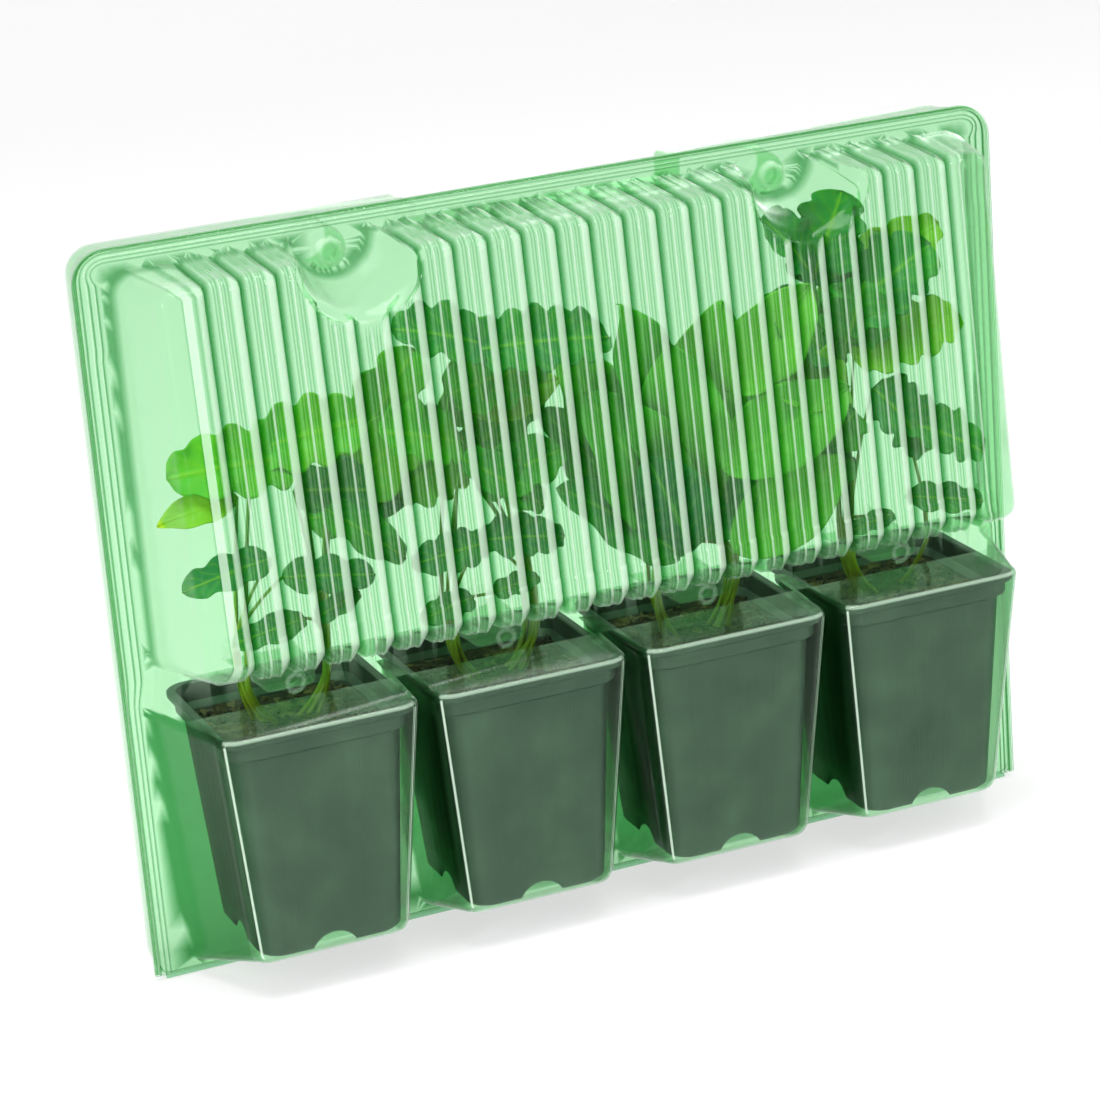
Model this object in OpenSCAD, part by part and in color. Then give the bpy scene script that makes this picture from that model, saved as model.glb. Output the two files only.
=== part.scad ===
// Upright clamshell pack for four potted seedlings: one sheet of clear green plastic formed into
// a front shell (four pot pockets, a waist and a ribbed dome) and a back lid, which turn on a
// living hinge along the bottom edge and snap together on studs.
// X is the width, -Y the front and +Z up. The origin is the bottom centre of the pack.

/* [Pack] */
// Height of the closed pack
pack_h = 260; // [240:1:330]
// Thickness of the formed sheet
sheet = 0.8; // [0.5:0.1:1]
// Width of the rim beside the dome
dome_rim = 10.3; // [8:0.1:14]
// Width of the rim beside the outer pockets
pocket_rim = 6.9; // [5:0.1:9]
// Width from the outer pots' half pitch to the edge of the rim
side_margin = 16.4; // [14:0.2:22]
// Depth of the pockets in front of the rim, at their top
front_depth = 48.4; // [44:0.2:59]
// Clearance between the front rim and the back rim
part_gap = 0.3; // [0.2:0.1:0.5]

/* [Pots] */
// Width of a pot over its rim
pot_w = 70; // [58:1:84]
// Width of a pot at its foot
pot_base_w = 52; // [43:1:56]
// Height of a pot
pot_h = 83; // [70:1:100]
// Wall of a pot
pot_wall = 1.2; // [0.8:0.1:2]
// Height of the hollow foot under a pot's floor
foot_h = 5; // [4:0.5:8]
// Radius of the pots' upright corners
pot_corner = 8; // [5:0.5:11]
// Depth of the soil below the rim
soil_drop = 7; // [5:0.5:15]
// Clearance round a pot in its pocket
pot_fit = 0.4; // [0.3:0.1:1]
// Gap between the pockets at the front, at their top
pocket_gap = 4.6; // [4:0.2:8]
// Height of the pockets' floor at the front
pocket_floor = 14.3; // [12:0.1:20]
// Height of the pockets' floor at the rim
pocket_floor_rim = 4.8; // [4:0.1:8]

/* [Dome] */
// Depth of the dome in front of the rim, at its top
dome_depth_top = 33.6; // [28:0.2:40]
// Depth of the dome in front of the rim, at its bottom
dome_depth_base = 46.5; // [39:0.1:48]
// Height of the waist between the pockets and the dome
waist_h = 18.8; // [16:0.2:26]
// Depth of the waist in front of the rim
waist_depth = 19.5; // [16:0.1:24]
// Spacing of the ribs
rib_pitch = 12.3; // [9:0.1:15]
// Width of the plain strip beside the ribs, each side
rib_margin = 16; // [12:1:24]
// Height of the ribs above the dome's surface
rib_h = 1.6; // [1.2:0.1:2.5]

/* [Snaps] */
// Distance between the two top studs
top_stud_span = 164; // [120:1:180]
// Diameter of the top studs
top_stud_d = 6.6; // [5:0.1:8]
// Diameter of the studs at the waist
waist_stud_d = 5; // [4:0.1:6]
// Clearance round a stud in its cap, on the radius
stud_fit = 0.8; // [0.7:0.1:1]

/* [Hidden] */

POTS = 4;
ARC_STEPS = 4;
CUT = 1;
$fn = 48;

// Places along the width
pocket_w = pot_w + 2 * (pot_fit + sheet);
pocket_side_gap = 1.2;
pocket_taper = 6;
pot_pitch = pocket_w + pocket_gap;
half_w = POTS / 2 * pot_pitch + side_margin;
dome_half = half_w - dome_rim;
dome_draft = 8.3;
rib_count = floor(2 * (dome_half - dome_draft - rib_margin) / rib_pitch);
function pot_x(k) = (k - (POTS + 1) / 2) * pot_pitch;

// Places along the depth, with y = 0 at the parting plane
rim_front = -part_gap / 2;
rim_back = part_gap / 2;
pot_y = pot_w / 2 + pot_fit + sheet - front_depth;
back_gap = 1.4;
back_depth = pot_y + pot_w / 2 + back_gap + sheet;
pack_y = (front_depth - back_depth) / 2;

// Heights
hinge_r = 0.8;
hinge_end = 4;
seat_gap = 0.3;
dome_base_slope = 6.4;
dome_top_rim = 9.5;
lid_side_rim = 2.4;
lid_top_rim = 1.8;
lid_draft = 1.2;
lid_top_draft = 1;
rim_z = 2 * hinge_r + part_gap;
pot_z = pocket_floor + sheet + seat_gap;
pot_top = pot_z + pot_h;
shelf_z = pot_top + pot_fit + sheet;
dome_z = shelf_z + waist_h;
dome_rim_z = dome_z - dome_base_slope;
dome_top = pack_h - dome_top_rim;
rim_corner = 12;
lid_corner = rim_corner - lid_side_rim;

// Snap studs and the posts that carry them
top_stud_drop = 13;
top_stud_z = pack_h - top_stud_drop;
top_post_r = 8;
stud_len = 3;
waist_stud_len = 2;
post_rise = 2.7;
post_base = shelf_z + post_rise;
post_h = 8.4;
post_tip_w = 18;
post_root_w = 24;
post_gap = 0.5;
post_corner = 1.5;
post_tip_y = sheet + post_gap - waist_depth;
waist_stud_z = post_base + post_h / 2;
scallop_r = 21;
scallop_rim_r = 12.5;
scallop_drop = 7;
scallop_z = pack_h - scallop_drop;

// Step in the top of the back lid
step_w = 98;
step_drop = 10.2;

// Seedlings
soil_gap = 0.3;
soil_top = pot_top - soil_drop;
crown_z = dome_z + 1;
crown_tops = [0.42, 0.74, 0.68, 0.84];
crown_front = 1.6 - dome_depth_top;
crown_back = back_depth - 7;
crown_side_gap = 3.5;
crown_rx = pot_pitch / 2 - crown_side_gap;
crown_ry = (crown_back - crown_front) / 2;
crown_y = (crown_back + crown_front) / 2;
stem_front_gap = 11.7;
stem_y = sheet + stem_front_gap - waist_depth;
stem_r = 1.3;
stem_dx = [13, -13.5, 14, -12.5];
stem_dy = [-7, -4, 4, 5];

// Points on a quarter circle
function quarter(x, y, r, from) =
    [for (i = [0 : ARC_STEPS])
        [x + r * cos(from + 90 * i / ARC_STEPS), y + r * sin(from + 90 * i / ARC_STEPS)]];

// Outline with four round corners, as points that run anticlockwise
function round_rect(x0, x1, y0, y1, r) = concat(
    quarter(x1 - r, y1 - r, r, 0),
    quarter(x0 + r, y1 - r, r, 90),
    quarter(x0 + r, y0 + r, r, 180),
    quarter(x1 - r, y0 + r, r, 270));

// Solid through a stack of outlines that have the same number of points
module loft(rings) {
    n = len(rings[0]);
    last = n * (len(rings) - 1);
    bottom = [[for (i = [0 : n - 1]) i]];
    top = [[for (i = [n - 1 : -1 : 0]) last + i]];
    sides = [for (k = [0 : len(rings) - 2], i = [0 : n - 1])
        let (a = k * n + i, b = k * n + (i + 1) % n)
        [a, a + n, b + n, b]];
    polyhedron(points = [for (ring = rings) each ring], faces = concat(bottom, sides, top));
}

// Square outline with round corners, laid flat at height z
function flat_square(w, r, z) =
    [for (p = round_rect(-w / 2, w / 2, -w / 2, w / 2, r)) [p[0], p[1], z]];

// Plan outline of a pocket: round corners at the front, open to the rim at the back
function pocket_plan(front, left, right, depth, y_back, r) = concat(
    [[right, y_back], [-left, y_back]],
    quarter(r - front, r - depth, r, 180),
    quarter(front - r, r - depth, r, 270));

// Solid that fills pocket k, drawn in by inset and run on to y_back
module pocket_fill(k, inset, y_back) {
    merged = pot_pitch / 2 + sheet / 2;
    outer = half_w - pocket_rim - pot_x(POTS);
    left = k == 1 ? outer : merged;
    right = k == POTS ? outer : merged;
    base_w = pot_base_w / 2 + pot_fit + sheet + pocket_side_gap;
    base_depth = pot_base_w / 2 - pot_y + pot_fit + sheet;
    slope = (pocket_floor - pocket_floor_rim) / base_depth;
    r = pot_corner - inset;
    low = pocket_plan(base_w - inset, left - pocket_taper - inset,
                      right - pocket_taper - inset, base_depth - inset, y_back, r);
    high = pocket_plan(pocket_w / 2 - inset, left - inset, right - inset,
                       front_depth - inset, y_back, r);
    translate([pot_x(k), 0, 0])
        loft([[for (p = low) [p[0], p[1], pocket_floor_rim + inset - slope * min(p[1], 0)]],
              [for (p = high) [p[0], p[1], shelf_z - inset]]]);
}

// Depth of the dome's face at height z, without its ribs
function dome_depth(z) = dome_depth_base
    + (dome_depth_top - dome_depth_base) * (z - dome_z) / (dome_top - dome_z);

// Solid that fills the dome, drawn in by inset and run on to y_back
module dome_fill(inset, y_back) {
    wide = dome_half - inset;
    narrow = dome_half - dome_draft - inset;
    at_rim = round_rect(-wide, wide, dome_rim_z + inset, dome_top + rib_h - inset, 8);
    at_face = round_rect(-narrow, narrow, dome_z + inset, dome_top - inset, 5);
    loft([[for (p = at_rim) [p[0], y_back, p[1]]],
          [for (p = at_face) [p[0], inset - dome_depth(p[1]), p[1]]]]);
}

// One rib's side view, pushed out from the dome by rise, and its solid of width w
module rib(x, rise, w, y_back) {
    low = dome_rim_z - rise;
    high = dome_top + rise;
    translate([x + w / 2, 0, 0])
        rotate([90, 0, -90])
            linear_extrude(w)
                polygon([[-y_back, low],
                         [dome_depth(dome_z) + rise, dome_z - rise],
                         [dome_depth(dome_top) + rise, high],
                         [-y_back, high + rib_h]]);
}

module ribs(rise, w, y_back) {
    for (i = [0 : rib_count - 1])
        rib((i - (rib_count - 1) / 2) * rib_pitch, rise, w, y_back);
}

// Cone along the depth for a top stud's scallop, from y0 forward, grown by grow
module scallop(side, y0, grow) {
    reach = dome_depth_top + 3 * rib_h + CUT;
    slope = (scallop_r - scallop_rim_r) / dome_depth_top;
    start_r = scallop_rim_r + grow - slope * (y0 - rim_front + sheet);
    translate([side * top_stud_span / 2, y0, scallop_z])
        rotate([90, 0, 0])
            cylinder(h = reach, r1 = start_r, r2 = start_r + slope * reach);
}

// Plate of a rim, with round top corners
module rim_plate(y0) {
    r = rim_corner;
    translate([0, y0 + sheet, 0])
        rotate([90, 0, 0])
            linear_extrude(sheet)
                union() {
                    translate([-half_w, rim_z])
                        square([2 * half_w, pack_h - rim_z - r]);
                    translate([r - half_w, pack_h - r - CUT])
                        square([2 * (half_w - r), r + CUT]);
                    for (side = [-1, 1])
                        translate([side * (half_w - r), pack_h - r])
                            circle(r);
                }
}

module waist_outer() {
    translate([-dome_half, -waist_depth, shelf_z - sheet])
        cube([2 * dome_half, waist_depth + rim_front, dome_z - shelf_z + sheet + 6]);
}

module waist_inner() {
    inner_half = dome_half - sheet;
    translate([-inner_half, sheet - waist_depth, shelf_z])
        cube([2 * inner_half, waist_depth, dome_z - shelf_z + 6 + CUT]);
    for (k = [1 : POTS])
        translate([pot_x(k) - pocket_w / 2 + sheet, sheet - waist_depth, shelf_z - sheet - CUT])
            cube([pocket_w - 2 * sheet, waist_depth, sheet + 2 * CUT]);
}

// Round cap over a stud, as a plain cylinder that runs forward from y0
module cap(x, y0, z, r, h) {
    translate([x, y0, z])
        rotate([90, 0, 0])
            cylinder(h = h, r = r);
}

module front_shell() {
    top_r = top_stud_d / 2 + stud_fit;
    waist_r = waist_stud_d / 2 + stud_fit;
    color([0.62, 0.88, 0.68, 0.6])
        translate([0, pack_y, 0])
            difference() {
                union() {
                    rim_plate(rim_front - sheet);
                    difference() {
                        union() {
                            dome_fill(0, rim_front);
                            ribs(rib_h, rib_pitch / 2, rim_front);
                        }
                        scallop(-1, rim_front - sheet, 0);
                        scallop(1, rim_front - sheet, 0);
                    }
                    waist_outer();
                    for (k = [1 : POTS])
                        pocket_fill(k, 0, rim_front);
                    for (side = [-1, 1])
                        cap(side * top_stud_span / 2, rim_front, top_stud_z,
                            top_r + sheet, stud_len + 2 * sheet);
                    for (k = [1 : POTS])
                        cap(pot_x(k), sheet - waist_depth, waist_stud_z,
                            waist_r + sheet, waist_stud_len + 2 * sheet);
                }
                difference() {
                    union() {
                        dome_fill(sheet, CUT);
                        ribs(rib_h - sheet, rib_pitch / 2 - 2 * sheet, CUT);
                    }
                    scallop(-1, 2 * CUT, sheet);
                    scallop(1, 2 * CUT, sheet);
                }
                waist_inner();
                for (k = [1 : POTS])
                    pocket_fill(k, sheet, CUT);
                for (side = [-1, 1])
                    cap(side * top_stud_span / 2, CUT, top_stud_z, top_r,
                        CUT - rim_front + stud_len + sheet);
                for (k = [1 : POTS])
                    cap(pot_x(k), CUT + sheet - waist_depth, waist_stud_z, waist_r,
                        CUT + waist_stud_len + sheet);
            }
}

// Solid that fills the back lid, drawn in by inset, from y0 to its back wall
module lid_fill(inset, y0) {
    wide = half_w - lid_side_rim - inset;
    high = pack_h - lid_top_rim - inset;
    at_rim = round_rect(-wide, wide, inset, high, lid_corner);
    at_back = round_rect(lid_draft - wide, wide - lid_draft, inset, high - lid_top_draft, lid_corner);
    loft([[for (p = at_rim) [-p[0], y0, p[1]]],
          [for (p = at_back) [-p[0], back_depth - inset, p[1]]]]);
}

// Step cut out of the top of the lid, grown by grow
module lid_step(grow) {
    floor_z = pack_h - lid_top_rim - step_drop - grow;
    translate([-step_w / 2 - grow, rim_back + sheet - grow, floor_z])
        cube([step_w + 2 * grow, back_depth + CUT, pack_h + CUT - floor_z]);
}

// Tapered post that reaches forward from the lid's back wall to the waist
module waist_post(k, inset, y_back) {
    half_tip = post_tip_w / 2 - inset;
    half_root = post_root_w / 2 - inset;
    low = post_base + inset;
    high = post_base + post_h - inset;
    at_tip = round_rect(-half_tip, half_tip, low, high, post_corner);
    at_root = round_rect(-half_root, half_root, low, high, post_corner);
    translate([pot_x(k), 0, 0])
        loft([[for (p = at_tip) [-p[0], post_tip_y + inset, p[1]]],
              [for (p = at_root) [-p[0], y_back, p[1]]]]);
}

module back_shell() {
    color([0.55, 0.83, 0.62, 0.6])
        translate([0, pack_y, 0])
            difference() {
                union() {
                    difference() {
                        union() {
                            rim_plate(rim_back);
                            difference() {
                                lid_fill(0, rim_back);
                                lid_step(0);
                            }
                        }
                        difference() {
                            lid_fill(sheet, -CUT);
                            lid_step(sheet);
                        }
                        translate([-half_w - CUT, -CUT, -CUT])
                            cube([2 * half_w + 2 * CUT, CUT + 2 * hinge_r, rim_z + CUT]);
                    }
                    for (side = [-1, 1]) {
                        cap(side * top_stud_span / 2, back_depth - sheet / 2, top_stud_z, top_post_r,
                            back_depth - sheet / 2 - rim_back);
                        cap(side * top_stud_span / 2, rim_back + CUT, top_stud_z, top_stud_d / 2,
                            CUT + stud_len);
                    }
                    for (k = [1 : POTS]) {
                        waist_post(k, 0, back_depth - sheet / 2);
                        cap(pot_x(k), post_tip_y + CUT, waist_stud_z, waist_stud_d / 2,
                            CUT + waist_stud_len);
                    }
                }
                for (side = [-1, 1])
                    cap(side * top_stud_span / 2, back_depth + CUT, top_stud_z, top_post_r - sheet,
                        back_depth + CUT - rim_back - sheet);
                for (k = [1 : POTS])
                    waist_post(k, sheet, back_depth + CUT);
            }
}

module living_hinge() {
    color([0.45, 0.78, 0.55])
        translate([hinge_end - half_w, pack_y, hinge_r])
            rotate([0, 90, 0])
                cylinder(h = 2 * (half_w - hinge_end), r = hinge_r);
}

// Width of a pot's body at a height above its foot
body_w = pot_w - 7;
function pot_width(h) = pot_base_w + (body_w - pot_base_w) * h / pot_h;

module pot(k) {
    lip_h = 2.5;
    band_h = 9;
    band_w = pot_w - 4;
    r = pot_corner;
    neck = pot_h - band_h;
    inner_floor = foot_h + pot_wall;
    wall2 = 2 * pot_wall;
    drain_r = 3;
    notch_r = 9;
    color([0.13, 0.14, 0.15])
        translate([pot_x(k), pack_y + pot_y, pot_z])
            difference() {
                loft([flat_square(pot_width(0), r, 0),
                      flat_square(pot_width(neck), r, neck),
                      flat_square(band_w, r, neck + 1.5),
                      flat_square(band_w, r, pot_h - lip_h - 0.5),
                      flat_square(pot_w, r, pot_h - lip_h),
                      flat_square(pot_w, r, pot_h)]);
                loft([flat_square(pot_width(inner_floor) - wall2, r - pot_wall, inner_floor),
                      flat_square(pot_width(neck) - wall2, r - pot_wall, neck),
                      flat_square(band_w - wall2, r - pot_wall, neck + 1.5),
                      flat_square(band_w - wall2, r - pot_wall, pot_h + CUT)]);
                loft([flat_square(pot_width(0) - wall2, r - pot_wall, -CUT),
                      flat_square(pot_width(foot_h) - wall2, r - pot_wall, foot_h)]);
                for (x = [-1, 1], y = [-1, 1])
                    translate([x * pot_base_w / 4, y * pot_base_w / 4, foot_h - CUT])
                        cylinder(h = pot_wall + 2 * CUT, r = drain_r);
                for (turn = [0, 90])
                    rotate([0, 0, turn])
                        translate([0, pot_w / 2, foot_h - 0.5 - notch_r])
                            rotate([90, 0, 0])
                                cylinder(h = pot_w, r = notch_r);
            }
}

module soil(k) {
    floor_h = foot_h + pot_wall + soil_gap;
    neck = pot_h - 9;
    top_h = pot_h - soil_drop;
    inset2 = 2 * (pot_wall + soil_gap);
    r = pot_corner - pot_wall;
    color([0.2, 0.15, 0.1])
        translate([pot_x(k), pack_y + pot_y, pot_z])
            loft([flat_square(pot_width(floor_h) - inset2, r, floor_h),
                  flat_square(pot_width(min(neck, top_h - 1)) - inset2, r, min(neck, top_h - 1)),
                  flat_square(pot_width(min(neck, top_h - 1)) - inset2, r, top_h)]);
}

// Cylinder from one point to another
module stem(from, to) {
    d = to - from;
    length = norm(d);
    translate(from)
        rotate([0, acos(d[2] / length), atan2(d[1], d[0])])
            cylinder(h = length, r1 = stem_r, r2 = stem_r * 0.8);
}

module stems(k) {
    foot_z = soil_top + soil_gap + 0.1;
    head_z = crown_z - soil_gap - 0.1;
    color([0.66, 0.74, 0.3])
        translate([pot_x(k), pack_y + stem_y, 0])
            for (i = [0 : len(stem_dx) - 1])
                stem([stem_dx[i], stem_dy[i], foot_z],
                     [stem_dx[i] * 1.1, stem_dy[i] * 1.1, head_z]);
}

module foliage(k) {
    top_z = crown_z + (dome_top - crown_z) * crown_tops[k - 1];
    levels = [[0, 0.8], [0.15, 0.92], [0.4, 1], [0.7, 0.9], [0.9, 0.6], [1, 0.25]];
    sides = 16;
    color([0.25, 0.5, 0.2])
        translate([pot_x(k), pack_y + crown_y, 0])
            loft([for (level = levels)
                [for (i = [0 : sides - 1])
                    [crown_rx * level[1] * cos(360 * i / sides),
                     crown_ry * level[1] * sin(360 * i / sides),
                     crown_z + (top_z - crown_z) * level[0]]]]);
}

front_shell();
back_shell();
living_hinge();
pot(1);  // pot_1
pot(2);  // pot_2
pot(3);  // pot_3
pot(4);  // pot_4
soil(1);  // soil_1
soil(2);  // soil_2
soil(3);  // soil_3
soil(4);  // soil_4
stems(1);  // stems_1
stems(2);  // stems_2
stems(3);  // stems_3
stems(4);  // stems_4
foliage(1);  // foliage_1
foliage(2);  // foliage_2
foliage(3);  // foliage_3
foliage(4);  // foliage_4
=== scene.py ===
"""Upright clamshell pack of four potted seedlings: clear green sheets, pots, soil, plants."""

import math

import bmesh
import bpy
import numpy as np
from mathutils import Matrix, Vector, noise
from mathutils.geometry import delaunay_2d_cdt


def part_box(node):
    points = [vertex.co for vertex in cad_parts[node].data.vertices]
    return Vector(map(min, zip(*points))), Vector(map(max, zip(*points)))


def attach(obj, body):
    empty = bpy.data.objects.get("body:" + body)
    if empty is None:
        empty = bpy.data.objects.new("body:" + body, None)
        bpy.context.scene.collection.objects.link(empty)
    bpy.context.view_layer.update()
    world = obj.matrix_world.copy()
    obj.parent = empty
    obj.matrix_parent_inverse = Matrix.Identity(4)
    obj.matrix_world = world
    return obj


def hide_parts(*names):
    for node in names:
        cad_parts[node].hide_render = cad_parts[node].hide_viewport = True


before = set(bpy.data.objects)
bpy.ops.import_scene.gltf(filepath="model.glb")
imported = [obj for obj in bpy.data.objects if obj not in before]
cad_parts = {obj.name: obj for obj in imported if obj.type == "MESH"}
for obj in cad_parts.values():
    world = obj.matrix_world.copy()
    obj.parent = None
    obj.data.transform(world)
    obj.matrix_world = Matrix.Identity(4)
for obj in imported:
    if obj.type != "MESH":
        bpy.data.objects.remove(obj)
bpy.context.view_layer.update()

bl_info = {
    "name": "Seedling clamshell pack",
    "version": (1, 0, 0),
    "blender": (4, 5, 0),
    "location": "View3D > Sidebar > Seedling pack",
    "description": "Builds the looks of an upright clamshell pack of four potted seedlings",
    "category": "Object",
}

MM = 0.001
SEED = 11

# Sizes of the frame, in millimetres. A depth is counted from the parting plane, where both rims
# meet; in a piece's points y is 0 there and negative towards the front.
SHELL_LO, SHELL_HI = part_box("front_shell")
LID_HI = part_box("back_shell")[1]
HINGE_LO, HINGE_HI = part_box("living_hinge")
POT_BOXES = [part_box("pot_%d" % k) for k in range(1, 5)]
PARTING_Y = (HINGE_LO.y + HINGE_HI.y) / 2 / MM
EDGE_GAP = 0.05
HALF_W = SHELL_HI.x / MM - EDGE_GAP
PACK_TOP = SHELL_HI.z / MM - EDGE_GAP
RIM_Z = SHELL_LO.z / MM
POT_X = [(lo.x + hi.x) / 2 / MM for lo, hi in POT_BOXES]
POT_Y = (POT_BOXES[0][0].y + POT_BOXES[0][1].y) / 2 / MM - PARTING_Y
POT_Z = POT_BOXES[0][0].z / MM
POT_TOP = POT_BOXES[0][1].z / MM
FRONT_DEPTH = PARTING_Y - SHELL_LO.y / MM
BACK_DEPTH = LID_HI.y / MM - PARTING_Y
PITCH = POT_X[1] - POT_X[0]
SHELF_Z = POT_TOP + 1.2
WAIST_DEPTH = 19.5
DOME_Z = SHELF_Z + 18.8
DOME_RIM_Z = DOME_Z - 6.4
DOME_TOP = PACK_TOP - 9.5
DOME_HALF = HALF_W - 10.3
DOME_FACE_HALF = DOME_HALF - 8.3
STUD_X = 82
STUD_Z = PACK_TOP - 13
WAIST_STUD_Z = SHELF_Z + 6.9
RIM_CORNER = 12
# The middle of each shell's sheet at the rim, either side of the parting plane
FRONT_MID = -0.55
LID_MID = 0.55
# How far the lid's box stands in from the rim's side and top edges
LID_RIM = 2.4
LID_TOP_RIM = 1.8


def smooth(x, lo, hi):
    """0 below lo, 1 above hi and an even curve between."""
    t = np.clip((np.asarray(x, float) - lo) / (hi - lo), 0, 1)
    return t * t * (3 - 2 * t)


def bump_at(x, centre, half):
    """A round hill of height 1 at centre, gone half away from it."""
    t = np.clip(np.abs(np.asarray(x, float) - centre) / half, 0, 1)
    return (1 - t * t) ** 2


# ---------------------------------------------------------------- colours and materials


def linear(code):
    """An sRGB hex colour as linear RGBA."""
    parts = [int(code[i:i + 2], 16) / 255 for i in (1, 3, 5)]
    return [c / 12.92 if c <= 0.04045 else ((c + 0.055) / 1.055) ** 2.4 for c in parts] + [1.0]


def add(tree, kind, links=None, **settings):
    """A new node with its settings, its socket values and its links."""
    made = tree.nodes.new(kind)
    for name, value in settings.items():
        setattr(made, name, value)
    for socket, value in (links or {}).items():
        if isinstance(value, bpy.types.NodeSocket):
            tree.links.new(value, made.inputs[socket])
        else:
            made.inputs[socket].default_value = value
    return made


def material(name):
    """An empty node material and its tree."""
    made = bpy.data.materials.new(name)
    made.use_nodes = True
    made.node_tree.nodes.clear()
    return made, made.node_tree


def finish_material(tree, surface):
    add(tree, "ShaderNodeOutputMaterial", {"Surface": surface})


def ramp(tree, value, stops):
    """A colour ramp over (place, colour) stops."""
    made = add(tree, "ShaderNodeValToRGB", {"Fac": value})
    band = made.color_ramp
    while len(band.elements) < len(stops):
        band.elements.new(0.5)
    for element, (place, colour) in zip(band.elements, stops):
        element.position = place
        element.color = colour
    return made.outputs["Color"]


SLANT_GLOSS = 0.90
# How strongly the pale mark paints a white highlight into the sheet
PAINTED_HIGHLIGHT_WHITE = 0.42


def clear_pet(name, tint, gloss, roughness, haze):
    """Clear green PET, heat-formed: light passes straight through and takes the tint at each face,
    with a deeper green painted on as shade in rib valleys, grooves, pocket side walls and beside
    the rim's beads; both faces mirror the room more at a slant, white painted highlights lie on rib
    flanks, pocket corners, the shelf's edge, bead crests and cap rings, and forming leaves slow
    ripples in the gloss."""
    made, tree = material(name)
    place = add(tree, "ShaderNodeTexCoord").outputs["Object"]
    # Slow ripples of about 25 mm and the mould's fine grain of about 1.5 mm
    slow = add(tree, "ShaderNodeTexNoise", {"Vector": place, "Scale": 40.0, "Detail": 2.0})
    grain = add(tree, "ShaderNodeTexNoise", {"Vector": place, "Scale": 650.0, "Detail": 3.0})
    soft = add(tree, "ShaderNodeBump",
               {"Height": slow.outputs["Fac"], "Strength": 0.35, "Distance": 0.0012})
    bump = add(tree, "ShaderNodeBump",
               {"Height": grain.outputs["Fac"], "Normal": soft.outputs["Normal"],
                "Strength": 0.10, "Distance": 0.0004})
    slant = add(tree, "ShaderNodeLayerWeight",
                {"Blend": 0.5, "Normal": bump.outputs["Normal"]}).outputs["Facing"]
    # The mirrored share of the light: gloss face on, rising to SLANT_GLOSS at the steepest slant
    rise = add(tree, "ShaderNodeMath", {0: slant, 1: 5.0}, operation="POWER")
    share = add(tree, "ShaderNodeMath", {0: rise.outputs[0], 1: SLANT_GLOSS - gloss, 2: gloss},
                operation="MULTIPLY_ADD", use_clamp=True)
    # Painted shade: where the mark is set, the tint turns to a deeper green
    fold = add(tree, "ShaderNodeAttribute", attribute_name="fold")
    depth = add(tree, "ShaderNodeMix",
                {0: fold.outputs["Fac"], 6: linear(tint), 7: linear("#6fbc82")}, data_type="RGBA")
    through = add(tree, "ShaderNodeBsdfTransparent", {"Color": depth.outputs[2]})
    sharp = add(tree, "ShaderNodeBsdfAnisotropic",
                {"Color": linear("#ffffff"), "Roughness": roughness,
                 "Normal": bump.outputs["Normal"]})
    # Fine level draw lines stretch the gloss up and down the sheet
    level = add(tree, "ShaderNodeTangent", direction_type="RADIAL", axis="Z")
    drawn = add(tree, "ShaderNodeBsdfAnisotropic",
                {"Color": linear("#ffffff"), "Roughness": 0.32, "Anisotropy": 0.85,
                 "Tangent": level.outputs[0]})
    shine = add(tree, "ShaderNodeMixShader", {0: 0.5, 1: sharp.outputs[0], 2: drawn.outputs[0]})
    # Painted highlights and reflections: where the pale mark is set, a share of plain white diffuse
    # is mixed in over the sheet's own light haze
    pale = add(tree, "ShaderNodeAttribute", attribute_name="pale")
    haze_and_highlight_share = add(tree, "ShaderNodeMath", {0: pale.outputs["Fac"], 1: PAINTED_HIGHLIGHT_WHITE, 2: haze},
                 operation="MULTIPLY_ADD")
    haze_and_highlight_paint = add(tree, "ShaderNodeBsdfDiffuse", {"Color": linear("#e4f4e4")})
    body = add(tree, "ShaderNodeMixShader",
               {0: haze_and_highlight_share.outputs[0], 1: through.outputs[0], 2: haze_and_highlight_paint.outputs[0]})
    both = add(tree, "ShaderNodeMixShader",
               {0: share.outputs[0], 1: body.outputs[0], 2: shine.outputs[0]})
    finish_material(tree, both.outputs[0])
    return made


def pot_plastic():
    """Thin black polypropylene, injection moulded with regrind: a soft grey sheen with a fine
    uneven grain, scuffed a little lighter in patches."""
    made, tree = material("moulded black polypropylene")
    place = add(tree, "ShaderNodeTexCoord").outputs["Object"]
    # Scuffs of about 20 mm and a mould grain of 0.6 mm
    scuff = add(tree, "ShaderNodeTexNoise", {"Vector": place, "Scale": 50.0, "Detail": 5.0})
    grain = add(tree, "ShaderNodeTexNoise", {"Vector": place, "Scale": 1600.0, "Detail": 2.0})
    colour = ramp(tree, scuff.outputs["Fac"],
                  [(0.3, linear("#3c4343")), (0.55, linear("#4a5250")), (0.8, linear("#5a6260"))])
    gloss = add(tree, "ShaderNodeMapRange",
                {"Value": scuff.outputs["Fac"], "To Min": 0.34, "To Max": 0.50})
    bump = add(tree, "ShaderNodeBump",
               {"Height": grain.outputs["Fac"], "Strength": 0.05, "Distance": 0.00004})
    shader = add(tree, "ShaderNodeBsdfPrincipled",
                 {"Base Color": colour, "Roughness": gloss.outputs[0], "IOR": 1.49,
                  "Normal": bump.outputs["Normal"]})
    finish_material(tree, shader.outputs[0])
    return made


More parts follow.
